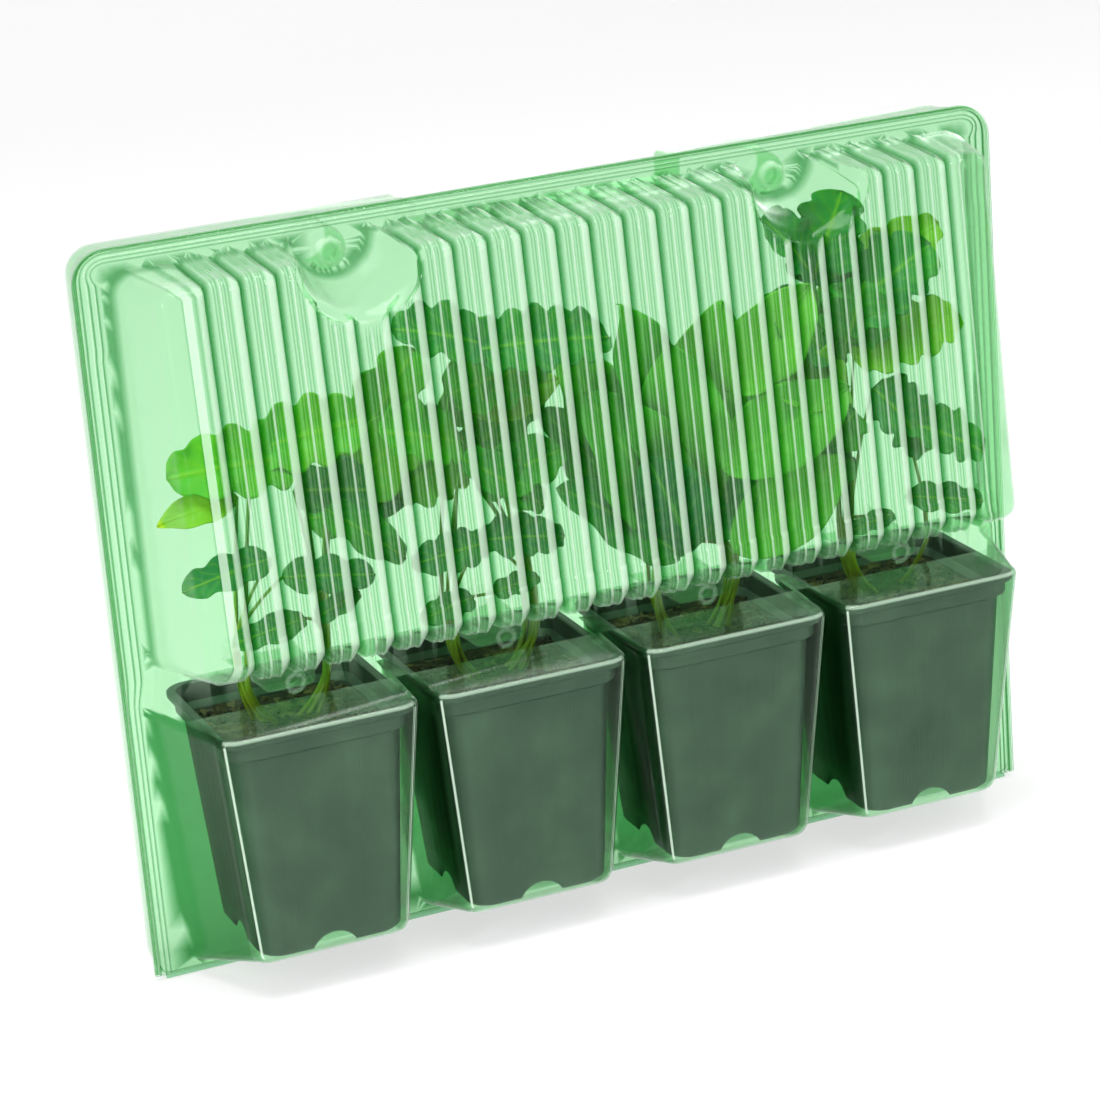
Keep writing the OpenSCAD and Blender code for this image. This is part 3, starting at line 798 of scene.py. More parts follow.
def front_shell(mat, rim_mat, cfg):
    """The front shell's sheet: pockets, waist, dome and rim."""
    patches = Patches()
    rings = [pocket(patches, k) for k in range(4)]
    rim_edge, lower, fronts, depths, foot_x = dome(patches)

    # Strips that close the shelf between pockets and beside the outer ones
    tops = [r[-1] for r in rings]
    ledge = AT_WAIST + 1
    for k in range(3):
        patches.grid([tops[k][:ledge], tops[k + 1][::-1][:ledge]])
    ledge_y = -depths * WAIST_DEPTH
    for side, top in ((1, tops[3][:ledge]), (-1, tops[0][::-1][:ledge])):
        foot = np.column_stack([side * foot_x, ledge_y, np.full(len(foot_x), SHELF_Z)])
        wall = np.column_stack([np.interp(-foot[:, 1], -top[:, 1], top[:, 0]),
                                foot[:, 1], foot[:, 2]])
        patches.grid([foot, wall])

    # The waist's front wall, with holes for the stud caps
    shelf_line = []
    for k in range(4):
        row = across(tops[k], AT_WAIST)[0]
        shelf_line.extend(row[::-1, 0].tolist())
    shelf_line = np.array(shelf_line)
    outline = np.concatenate([np.column_stack([shelf_line, np.full(len(shelf_line), SHELF_Z)]),
                              fronts[1][-2:0:-1, [0, 2]], lower[::-1][:, [0, 2]],
                              fronts[0][1:-1, [0, 2]]])
    holes = [circle(x, WAIST_STUD_Z, 4.9) for x in POT_X]
    patches.flat(outline, holes, lambda p: at_depth(p, -WAIST_DEPTH))
    for x in POT_X:
        d = -WAIST_DEPTH
        revolve(patches, x, WAIST_STUD_Z,
                [(4.9, d), (4.45, d - 0.15), (4.2, d - 0.6), (4.1, d - 2.6), (3.9, d - 3.1),
                 (3.4, d - 3.45), (2.5, d - 3.55), (1.9, d - 3.3), (1.3, d - 2.7), (0.6, d - 2.5),
                 (0, d - 2.45)], ring=(2.4, 3.5))

    # The rim
    def widths(points):
        """The band is widest beside the dome and narrow along the top."""
        side = np.abs(points[:, 0]) > HALF_W - RIM_CORNER - 0.2
        z = points[:, 1]
        w = 6.4 + 2.4 * smooth(z, 100, 112) + 0.5 * smooth(z, 223, 226)
        turn = smooth(z, PACK_TOP - RIM_CORNER, PACK_TOP - 2)
        return np.where(side, w + (5.2 - w) * turn, 5.2)

    inner = rim_band(patches, widths, 0.0, -1)
    hole = rim_edge[:, [0, 2]].tolist()
    for k in (3, 2, 1, 0):
        floor = across(rings[k][0], 0)[0]
        hole.extend([r[0][0], r[0][2]] for r in rings[k][::-1])
        hole.extend([p[0], p[2]] for p in floor[1:-1])
        hole.extend([r[-1][0], r[-1][2]] for r in rings[k])
    studs = [circle(side * STUD_X, STUD_Z, 5.7) for side in (-1, 1)]
    bottom = np.column_stack([np.linspace(inner[-1][0], inner[0][0], 30)[1:-1],
                              np.full(28, RIM_Z)])
    patches.flat(np.concatenate([inner, bottom]), [np.array(hole)] + studs,
                 lambda p: at_depth(p, 0))
    for side in (-1, 1):
        revolve(patches, side * STUD_X, STUD_Z,
                [(5.7, 0), (5.2, -0.15), (4.95, -0.6), (4.8, -3.4), (4.5, -4.1), (3.9, -4.5),
                 (2.9, -4.55), (2.2, -4.2), (1.6, -3.4), (0.8, -3.15), (0, -3.1)], ring=(3.8, 4.9))
    patches.points = on_sheet(np.array(patches.points)).tolist()
    made = patches.object("front_shell_sheet", mat, "front", thickness=cfg.sheet / MM,
                          rim_mat=rim_mat, join=0.02)
    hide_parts("front_shell")
    return made


# ---------------------------------------------------------------- back lid


def lid_ring(inset, z_low):
    """The lid's box in the x-z plane: left side up, the top with its stacking step, right side
    down, bottom."""
    half = HALF_W - LID_RIM - inset
    top = PACK_TOP - LID_TOP_RIM - inset * 0.75
    step = 49 + 0.25 * inset
    floor = PACK_TOP - 12 - 0.15 * inset
    r = 9.6
    pts = [[-half, z_low + 3], [-half, 60], [-half, 120], [-half, 180], [-half, 225]]
    pts += arc(r - half, top - r, r, 180, 90, 8).tolist()
    pts += [[-140, top], [-115, top], [-90, top], [-66, top]]
    pts += arc(-step - 1.5, top - 1.5, 1.5, 90, 0, 4).tolist()
    pts += arc(-step + 1.5, floor + 1.5, 1.5, 180, 270, 4).tolist()
    pts += [[x, floor] for x in (-30, -10, 10, 30)]
    pts += arc(step - 1.5, floor + 1.5, 1.5, 270, 360, 4).tolist()
    pts += arc(step + 1.5, top - 1.5, 1.5, 180, 90, 4).tolist()
    pts += [[66, top], [90, top], [115, top], [140, top]]
    pts += arc(half - r, top - r, r, 90, 0, 8).tolist()
    pts += [[half, 225], [half, 180], [half, 120], [half, 60], [half, z_low + 3]]
    pts += arc(half - 3, z_low + 3, 3, 0, -90, 4)[1:].tolist()
    pts += [[x, z_low] for x in np.linspace(half - 25, 25 - half, 13)]
    pts += arc(3 - half, z_low + 3, 3, 270, 180, 4)[:-1].tolist()
    return np.array(pts)


def square_hole(x, z, half_x, half_z, r, n=5):
    """A rectangle with round corners in the x-z plane, anticlockwise from its right side."""
    parts = [arc(x + half_x - r, z + half_z - r, r, 0, 90, n),
             arc(x - half_x + r, z + half_z - r, r, 90, 180, n),
             arc(x - half_x + r, z - half_z + r, r, 180, 270, n),
             arc(x + half_x - r, z - half_z + r, r, 270, 360, n)]
    return np.concatenate(parts)


def back_lid(mat, rim_mat, cfg):
    """The back lid's sheet: box, rim, and the posts and studs that meet the front shell's caps."""
    patches = Patches()
    back = BACK_DEPTH - 0.3
    fillet = 4.0
    # The side wall's depths, with the inset and the bottom height at each
    levels = [(LID_MID, 0.0, RIM_Z), (1.6, 0.1, 1.2), (3.0, 0.15, 0.3), (7, 0.3, 0.3),
              (10.6, 0.4, 0.3), (11.6, 1.1, 0.3), (12.4, 1.2, 0.3), (17, 1.35, 0.3),
              (back - fillet, 1.5, 0.3)]
    rings = [at_depth(lid_ring(i, z), y) for y, i, z in levels]
    for a in np.linspace(0, 90, 6)[1:]:
        s = math.radians(a)
        ring = lid_ring(1.5 + fillet * (1 - math.cos(s)), 0.3 + fillet * 0.35 * (1 - math.cos(s)))
        rings.append(at_depth(ring, back - fillet + fillet * math.sin(s)))
    patches.grid(rings, closed=True)

    root = [square_hole(x, WAIST_STUD_Z, 12.4, 4.7, 2.4) for x in POT_X]
    round_root = [circle(side * STUD_X, STUD_Z, 8.6) for side in (-1, 1)]
    patches.flat(rings[-1][:, [0, 2]], root + round_root, lambda p: at_depth(p, back))
    for x in POT_X:
        # Each post's depth, half width, half height and corner
        shapes = [(back, 12.4, 4.7, 2.4), (back - 0.5, 12.0, 4.3, 2.1),
                  (back - 1.6, 11.7, 4.0, 1.8), (10, 10.6, 4.0, 1.8), (-6, 9.6, 4.0, 1.8),
                  (-15.6, 8.9, 3.9, 1.8), (-16.7, 8.7, 3.7, 1.7), (-17.5, 8.2, 3.2, 1.5),
                  (-17.8, 7.4, 2.6, 1.3)]
        patches.grid([at_depth(square_hole(x, WAIST_STUD_Z, a, b, r), y) for y, a, b, r in shapes],
                     closed=True)
        tip = square_hole(x, WAIST_STUD_Z, 7.4, 2.6, 1.3)
        patches.flat(tip, [circle(x, WAIST_STUD_Z, 2.45, 20)], lambda p: at_depth(p, -17.8))
        revolve(patches, x, WAIST_STUD_Z,
                [(2.45, -17.8), (2.3, -18.1), (2.25, -19.2), (2.0, -19.7), (1.3, -19.95),
                 (0, -20.0)], 20)
    for side in (-1, 1):
        revolve(patches, side * STUD_X, STUD_Z,
                [(8.6, back), (8.1, back - 0.4), (7.8, back - 1.4), (7.6, 3.0), (7.2, 1.7),
                 (6.4, 1.05), (5.0, 0.9), (3.3, 0.9), (3.1, 0.6), (3.05, -1.6), (2.7, -2.2),
                 (1.6, -2.5), (0, -2.55)])

    def widths(points):
        """The lid's band fits between the rim's edge and the box."""
        side = np.abs(points[:, 0]) > HALF_W - RIM_CORNER - 0.2
        turn = smooth(points[:, 1], PACK_TOP - RIM_CORNER, PACK_TOP - 2)
        return np.where(side, 2.1 + (1.5 - 2.1) * turn, 1.5)

    inner = rim_band(patches, widths, LID_MID, 1)
    # The flat between the band and the box, open at the hinge
    bottom_points = 13 + 3 + 3
    ring = lid_ring(0.0, RIM_Z)[:-bottom_points]
    end_right = [[HALF_W - LID_RIM, RIM_Z]]
    end_left = [[LID_RIM - HALF_W, RIM_Z]]
    outline = np.concatenate([inner, end_right, ring[::-1], end_left])
    patches.flat(outline, [], lambda p: at_depth(p, LID_MID))
    made = patches.object("back_lid_sheet", mat, "lid", thickness=cfg.sheet / MM, rim_mat=rim_mat,
                          join=0.02)
    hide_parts("back_shell")
    return made


# ---------------------------------------------------------------- pots and soil


FACE_POINTS = 216
POT_RIB_PITCH = 1.25
NOTCH_R = 9
NOTCH_DROP = 4.5


def square_ring(half, r, z, ribs=0.0, notch=0.0):
    """A square turn with round corners at height z, with fine ribs on its faces and a half-moon
    notch lifted into the middle of each face's lower edge."""
    face = np.linspace(-1, 1, FACE_POINTS + 1)[:-1]
    pts = []
    for turn in range(4):
        flat = half - r
        u = face * flat
        wave = 0.5 - 0.5 * np.cos(u * 2 * math.pi / POT_RIB_PITCH)
        fine = np.where(np.abs(u) < flat * 0.8, ribs * wave, 0)
        lift = np.sqrt(np.maximum(NOTCH_R ** 2 - u * u, 0)) - NOTCH_DROP
        lift = np.where(np.abs(u) < 7.7, lift, 0) * notch
        side = np.column_stack([u, fine - half, z + lift])
        corner = arc(flat, -flat, r, -90, 0, 8)[:-1]
        corner = np.column_stack([corner[:, 0], corner[:, 1], np.full(7, float(z))])
        ring = np.concatenate([side, corner])
        for _ in range(turn):
            ring = np.column_stack([-ring[:, 1], ring[:, 0], ring[:, 2]])
        pts.append(ring)
    return np.concatenate(pts)


def pot(k, mat):
    """One pot: tapered ribbed walls, a lip, and a hollow foot with four drain holes."""
    patches = Patches()
    x0, y0, z0 = POT_X[k], POT_Y, POT_Z
    tall = POT_TOP - POT_Z
    neck = tall - 9
    r, wall = 8, 1.2
    drain_r, drain_at, drain_points = 3, 13, 20

    def w(h):
        """The wall's half width at height h."""
        return POT_FOOT_HALF + 5.5 * h / tall

    # Half width, height, rib depth and notch of each turn, up the outside and down the inside
    outside = [(w(0) - 0.9, 0, 0, 1), (w(0), 1.2, 0.0, 1), (w(6), 6, 0.0, 0.4),
               (w(9), 9, 0.0, 0), (w(10), 10, 0.16, 0), (w(neck - 4), neck - 4, 0.16, 0),
               (w(neck - 3), neck - 3, 0, 0), (w(neck), neck, 0, 0),
               (w(neck) + 0.6, neck + 0.5, 0, 0), (32.8, neck + 1.4, 0, 0),
               (33, neck + 2.0, 0, 0), (33, tall - 3.4, 0, 0), (33.3, tall - 2.9, 0, 0),
               (34.6, tall - 2.6, 0, 0), (35, tall - 2.2, 0, 0), (35, tall - 0.5, 0, 0),
               (34.7, tall - 0.1, 0, 0), (34.3, tall, 0, 0), (32.4, tall, 0, 0),
               (31.9, tall - 0.4, 0, 0), (31.8, neck + 2.2, 0, 0), (w(neck) - wall, neck, 0, 0),
               (w(20) - wall, 20, 0, 0), (w(6.2) - wall, 6.2, 0, 0)]
    first_inside = 19
    rows = [square_ring(half, r - (wall if i >= first_inside else 0), h, ribs, notch)
            for i, (half, h, ribs, notch) in enumerate(outside)]
    patches.grid([row + [x0, y0, z0] for row in rows], closed=True)
    foot = [square_ring(w(0) - 0.9, r, 0, 0, 1), square_ring(w(0) - wall, r - wall, 0.2, 0, 1),
            square_ring(w(5) - wall, r - wall, 5, 0, 0)]
    patches.grid([row + [x0, y0, z0] for row in foot], closed=True)
    drains = [circle(sx * drain_at, sy * drain_at, drain_r, drain_points)
              for sx in (-1, 1) for sy in (-1, 1)]

    def floor_at(flat, h):
        """Flat points of the pot's floor at height h."""
        return np.column_stack([flat[:, 0] + x0, flat[:, 1] + y0, np.full(len(flat), z0 + h)])

    for ring, h in ((foot[-1], 5.0), (rows[-1], 6.2)):
        patches.flat(ring[:, :2], drains, lambda p, h=h: floor_at(p, h))
    for hole in drains:
        patches.grid([floor_at(hole, h) for h in (5.0, 6.2)], closed=True)
    made = patches.object("pot_%d_body" % (k + 1), mat, "front", sharp=35, weighted=False)
    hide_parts("pot_%d" % (k + 1))
    return made


CRUMBS = 150
FIBRES = 46
SOIL_HALF = 29.0
SOIL_FOOT_HALF = 24.5
SOIL_CORNER = 8


def soil(k, mat):
    """A bed of crumbs in the pot, with loose lumps and fibres on it."""
    lo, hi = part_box("soil_%d" % (k + 1))
    rng = np.random.default_rng(SEED + k)
    patches = Patches()
    x0, y0 = POT_X[k], POT_Y
    half, top, floor = SOIL_HALF, hi.z / MM, lo.z / MM
    line = np.linspace(-half, half, 84)
    gx, gy = np.meshgrid(line, line)
    z = np.empty_like(gx)
    for i in range(gx.shape[0]):
        for j in range(gx.shape[1]):
            p = Vector((gx[i, j] + 200 * k, gy[i, j], 0.0))
            z[i, j] = (noise.noise(p / 14) * 0.9 + noise.noise(p / 4.5) * 0.8
                       + noise.noise(p / 1.9) * 0.6)
    z = np.minimum(top - 2.3 + z, top - 0.2)
    # Round the bed's corners to the pot's
    r = SOIL_CORNER
    a = np.clip((np.abs(gx) - (half - r)) / r, 0, 1)
    b = np.clip((np.abs(gy) - (half - r)) / r, 0, 1)
    gx, gy = (np.where(a * b > 0, np.sign(g) * (half - r + r * p * np.sqrt(1 - q * q / 2)), g)
              for g, p, q in ((gx, a, b), (gy, b, a)))
    bed = np.stack([gx + x0, gy + y0, z], -1)
    patches.grid(bed)
    edge = np.concatenate([bed[0], bed[1:, -1], bed[-1, -2::-1], bed[-2:0:-1, 0]])
    low = edge - [x0, y0, 0]
    low[:, 2] = floor
    low[:, :2] *= SOIL_FOOT_HALF / SOIL_HALF
    low += [x0, y0, 0]
    patches.grid([edge, low], closed=True)
    patches.add(low, [tuple(range(len(low)))])
    for _ in range(CRUMBS):
        size = rng.uniform(0.5, 1.5)
        at = rng.uniform(-half + 2, half - 2, 2)
        lump(patches, (at[0] + x0, at[1] + y0, top - 2.2), size, top - 0.05, rng)
    for _ in range(FIBRES):
        start = np.append(rng.uniform(-half + 3, half - 3, 2), top - 1.6)
        turn, bend = rng.uniform(0, 2 * math.pi), rng.uniform(-1.2, 1.2)
        length = rng.uniform(4, 13)
        t = np.linspace(0, 1, 6)
        ang = turn + bend * t
        path = start + np.column_stack([np.cos(ang) * t * length, np.sin(ang) * t * length,
                                        0.9 * np.sin(t * math.pi)])
        path[:, 0] = np.clip(path[:, 0], -half, half) + x0
        path[:, 1] = np.clip(path[:, 1], -half, half) + y0
        tube(patches, path, np.full(6, rng.uniform(0.12, 0.28)), 5)
    made = patches.object("soil_%d_bed" % (k + 1), mat, "front", sharp=60, weighted=False,
                          join=0.001)
    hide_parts("soil_%d" % (k + 1))
    return made


def lump(patches, at, size, limit, rng):
    """One crumb: a small rough ball, squashed, under the limit height."""
    stretch = rng.uniform(0.7, 1.3, 3)
    rows = []
    for i in range(5):
        a = math.pi * i / 4
        ring = []
        for j in range(7):
            b = 2 * math.pi * j / 7
            rough = size * rng.uniform(0.8, 1.15) if 0 < i < 4 else size
            ring.append([at[0] + rough * stretch[0] * math.sin(a) * math.cos(b),
                         at[1] + rough * stretch[1] * math.sin(a) * math.sin(b),
                         min(at[2] + rough * stretch[2] * math.cos(a), limit)])
        rows.append(ring)
    patches.grid(rows, closed=True)


def tube(patches, path, radii, sides):
    """A round tube along a path, closed at both ends."""
    path = np.asarray(path, float)
    ways = np.gradient(path, axis=0)
    ways /= np.linalg.norm(ways, axis=1)[:, None] + 1e-9
    ref = np.array([0.0, 1.0, 0.0]) if abs(ways[0][1]) < 0.8 else np.array([1.0, 0, 0])
    rows = []
    for p, way, r in zip(path, ways, radii):
        a = np.cross(way, ref)
        a /= np.linalg.norm(a) + 1e-9
        b = np.cross(way, a)
        ang = np.arange(sides) * 2 * math.pi / sides
        rows.append(p + r * (np.outer(np.cos(ang), a) + np.outer(np.sin(ang), b)))
    patches.grid(rows, closed=True)
    patches.add(rows[0], [tuple(range(sides))])
    patches.add(rows[-1], [tuple(range(sides - 1, -1, -1))])


# ---------------------------------------------------------------- plants


def bezier(p0, p1, p2, n):
    """n points of a curve from p0 to p2 that leans towards p1."""
    t = np.linspace(0, 1, n)[:, None]
    return (1 - t) ** 2 * np.asarray(p0) + 2 * t * (1 - t) * np.asarray(p1) + t * t * np.asarray(p2)


def leaf(patches, base, tip, width, lobes, rise, face, tone, seed, cup=0.25):
    """One leaf blade from base to tip. lobes cuts its margin into round lobes, rise arches the
    midrib, face is the way its upper side looks, and cup folds it along the midrib."""
    rng = np.random.default_rng(seed)
    base, tip = np.asarray(base, float), np.asarray(tip, float)
    face = np.asarray(face, float)
    face /= np.linalg.norm(face)
    n, m = 40, 12
    mid = bezier(base, (base + tip) / 2 + face * rise, tip, n + 1)
    way = np.gradient(mid, axis=0)
    way /= np.linalg.norm(way, axis=1)[:, None]
    t = np.linspace(0, 1, n + 1)
    if lobes:
        half = width / 2 * np.sqrt(np.clip(1 - (2 * t ** 0.85 - 1) ** 2, 0, 1)) ** 0.8
    else:
        half = width / 2 * np.sin(math.pi * t ** 0.85) ** 0.72
    half = np.maximum(half, 0.02)
    rows, veins = [], []
    phase = rng.uniform(0, 1)
    wave = rng.uniform(0, 2 * math.pi, 3)
    s = np.linspace(-1, 1, 2 * m + 1)
    for i in range(n + 1):
        across_way = np.cross(way[i], face)
        across_way /= np.linalg.norm(across_way) + 1e-9
        up = np.cross(across_way, way[i])
        cut = 1.0
        if lobes:
            cut = 1 - 0.22 * abs(math.sin(math.pi * (t[i] * lobes + phase))) ** 4
        reach = s * half[i] * cut
        curl = cup * half[i] * np.abs(s) ** 1.5
        ripple = 0.05 * width * np.abs(s) ** 2 * np.sin(9 * t[i] * 2 + wave[0] + s * 1.2)
        side_vein = np.abs(((t[i] * 7 - np.abs(s) * 1.6) % 1) - 0.5) * 2
        ridge = -0.35 * (1 - smooth(1 - side_vein, 0.0, 0.35)) * np.sin(math.pi * np.abs(s) ** 0.7)
        midrib = -0.5 * (1 - smooth(np.abs(s), 0, 0.12))
        height = curl + ripple - ridge * 0.8 - midrib
        rows.append(mid[i] + np.outer(reach, across_way) + np.outer(height, up))
        veins.append(np.maximum((1 - smooth(np.abs(s), 0, 0.10)) * 0.7,
                                (1 - smooth(1 - side_vein, 0.0, 0.25)) * 0.35 * (np.abs(s) < 0.95)))
    shape = (n + 1, 2 * m + 1)
    patches.grid(rows, vein=np.array(veins), tone=np.full(shape, tone))


# Each plant's foot (x, y), and its leaves: base and tip points, width, lobes, arch and tone
PLANTS = (
    # Low plant on the left, its biggest leaves sweeping to the left
    dict(foot=(-112, -9), leaves=(
        ((-103, -12, 181), (-150, -15, 183), 27, 4, 6, 0.42),
        ((-128, -20, 174), (-157, -22, 170), 13, 0, 2, 0.68),
        ((-118, -10, 186), (-78, -12, 190), 26, 4, 5, 0.45),
        ((-104, -6, 168), (-62, -8, 160), 22, 3, 4, 0.12),
        ((-92, -4, 158), (-58, -6, 184), 26, 3, 5, 0.50),
        ((-86, 4, 166), (-52, 6, 206), 26, 4, 5, 0.40),
        ((-98, -20, 164), (-72, -22, 142), 15, 2, 3, 0.16),
        ((-120, -24, 152), (-152, -26, 147), 14, 3, 2, 0.05),
        ((-118, -28, 146), (-86, -30, 141), 14, 3, 2, 0.05),
        ((-112, -30, 131), (-138, -30, 127), 11, 2, 2, 0.10),
        ((-108, -30, 130), (-92, -30, 136), 9, 2, 2, 0.14),
        ((-96, 10, 152), (-66, 12, 146), 20, 3, 4, 0.30),
    )),
    dict(foot=(-44, -9), leaves=(
        ((-38, -10, 206), (12, -14, 203), 26, 6, 5, 0.10),
        ((-30, -8, 206), (-66, -12, 219), 24, 4, 4, 0.08),
        ((-44, -2, 190), (-10, -6, 196), 26, 4, 5, 0.35),
        ((-38, 2, 184), (-2, 0, 188), 22, 0, 5, 0.92),
        ((-46, -14, 176), (-76, -18, 186), 25, 4, 4, 0.38),
        ((-44, -8, 170), (-70, -10, 162), 26, 4, 4, 0.45),
        ((-42, -16, 160), (-10, -18, 168), 20, 3, 4, 0.25),
        ((-48, -20, 172), (-20, -22, 150), 18, 3, 3, 0.22),
        ((-46, -26, 144), (-16, -28, 140), 17, 4, 3, 0.05),
        ((-44, -26, 143), (-72, -28, 141), 15, 4, 3, 0.05),
        ((-52, -30, 126), (-72, -32, 122), 11, 3, 2, 0.08),
        ((-44, -30, 126), (-28, -32, 129), 9, 2, 2, 0.10),
        ((-40, 8, 176), (-24, 8, 212), 24, 3, 4, 0.40),
        ((-36, 10, 160), (-8, 8, 190), 24, 3, 4, 0.30),
    )),
    dict(foot=(34, -9), leaves=(
        ((34, -12, 124), (0, -16, 186), 38, 0, 6, 0.42),
        ((30, -20, 122), (-15, -22, 156), 28, 0, 5, 0.15),
        ((36, -4, 138), (20, -6, 212), 36, 0, 6, 0.38),
        ((40, -8, 132), (36, -12, 196), 36, 0, 6, 0.50),
        ((44, 0, 148), (60, -4, 206), 32, 0, 5, 0.62),
        ((54, -14, 176), (88, -18, 210), 28, 0, 5, 0.95),
        ((48, -20, 150), (98, -24, 172), 30, 0, 6, 0.55),
        ((48, -26, 121), (92, -28, 148), 28, 0, 6, 0.55),
        ((42, 6, 140), (72, 8, 192), 30, 2, 5, 0.48),
        ((26, 4, 130), (-8, 6, 176), 30, 0, 5, 0.25),
        ((36, -18, 122), (20, -20, 160), 30, 0, 5, 0.08),
        ((44, -12, 122), (58, -16, 158), 28, 0, 5, 0.12),
        ((22, 8, 150), (2, 8, 198), 28, 0, 5, 0.50),
    )),
    dict(foot=(108, -9), leaves=(
        ((98, 0, 206), (78, -2, 232), 26, 4, 4, 0.05),
        ((98, 2, 204), (112, 2, 236), 28, 5, 4, 0.08),
        ((102, -6, 190), (140, -10, 214), 32, 5, 5, 0.12),
        ((104, 4, 196), (150, 2, 218), 24, 4, 4, 0.70),
        ((100, -8, 178), (72, -10, 204), 28, 4, 4, 0.15),
        ((106, -12, 178), (148, -14, 188), 24, 5, 5, 0.60),
        ((102, -14, 170), (68, -16, 178), 26, 4, 4, 0.55),
        ((104, -10, 184), (112, -12, 206), 30, 4, 4, 0.22),
        ((110, -18, 168), (128, -22, 142), 26, 5, 5, 0.08),
        ((120, -20, 154), (150, -24, 138), 24, 5, 4, 0.08),
        ((104, -16, 160), (84, -18, 146), 20, 3, 4, 0.30),
        ((98, -24, 146), (74, -26, 138), 15, 3, 2, 0.12),
        ((116, -28, 129), (146, -30, 122), 12, 3, 2, 0.10),
        ((110, -30, 124), (92, -30, 121), 8, 2, 2, 0.12),
        ((100, 8, 176), (122, 8, 196), 28, 4, 4, 0.35),
    )),
)


def stem_paths(k):
    """Stalks from the soil, past the waist post on either side, to each leaf's base."""
    foot_y = PLANTS[k]["foot"][1]
    centre = POT_X[k]
    rng = np.random.default_rng(SEED * 3 + k)
    paths = []
    for i, (base, *_) in enumerate(PLANTS[k]["leaves"]):
        side = 1 if (base[0] - centre) > 0 or (i % 3 == 0) else -1
        if base[0] < centre - 6:
            side = -1
        gate = np.array([centre + side * rng.uniform(13.8, 17.0), rng.uniform(-15.5, -6), 106.5])
        start = np.array([centre + side * rng.uniform(4, 12), foot_y + rng.uniform(-4, 4), 89.0])
        above = gate + [side * rng.uniform(-1, 1), 0, 13]
        lower = bezier(start, [gate[0] - side * 1.5, (start[1] + gate[1]) / 2, 97], gate, 9)
        upper = bezier(above, [above[0] * 0.6 + base[0] * 0.4, above[1] * 0.5 + base[1] * 0.5,
                               above[2] * 0.4 + base[2] * 0.6], base, 14)
        middle = np.linspace(gate, above, 6)[1:-1]
        paths.append(np.concatenate([lower, middle, upper]))
    return paths


def plant(k, leaf_mat, stem_mat):
    """One seedling: its stalks, and its leaves."""
    stalks = Patches()
    for i, path in enumerate(stem_paths(k)):
        thick = 1.25 if i < 3 else 0.85
        tube(stalks, path, np.linspace(thick, 0.5, len(path)), 9)
    made = stalks.object("seedling_%d_stalks" % (k + 1), stem_mat, "front", weighted=False,
                         join=0.0001)
    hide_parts("stems_%d" % (k + 1))
    blades = Patches()
    for i, (base, tip, width, lobes, rise, tone) in enumerate(PLANTS[k]["leaves"]):
        rng = np.random.default_rng(SEED * 7 + 31 * k + i)
        face = (rng.uniform(-0.3, 0.3), -0.75, rng.uniform(0.35, 0.75))
        leaf(blades, base, tip, width, lobes, rise, face, tone, SEED + 100 * k + i)
    made = blades.object("seedling_%d_leaves" % (k + 1), leaf_mat, "front", thickness=0.3,
                         sharp=80, weighted=False, join=0.0001)
    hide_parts("foliage_%d" % (k + 1))


# ---------------------------------------------------------------- stage


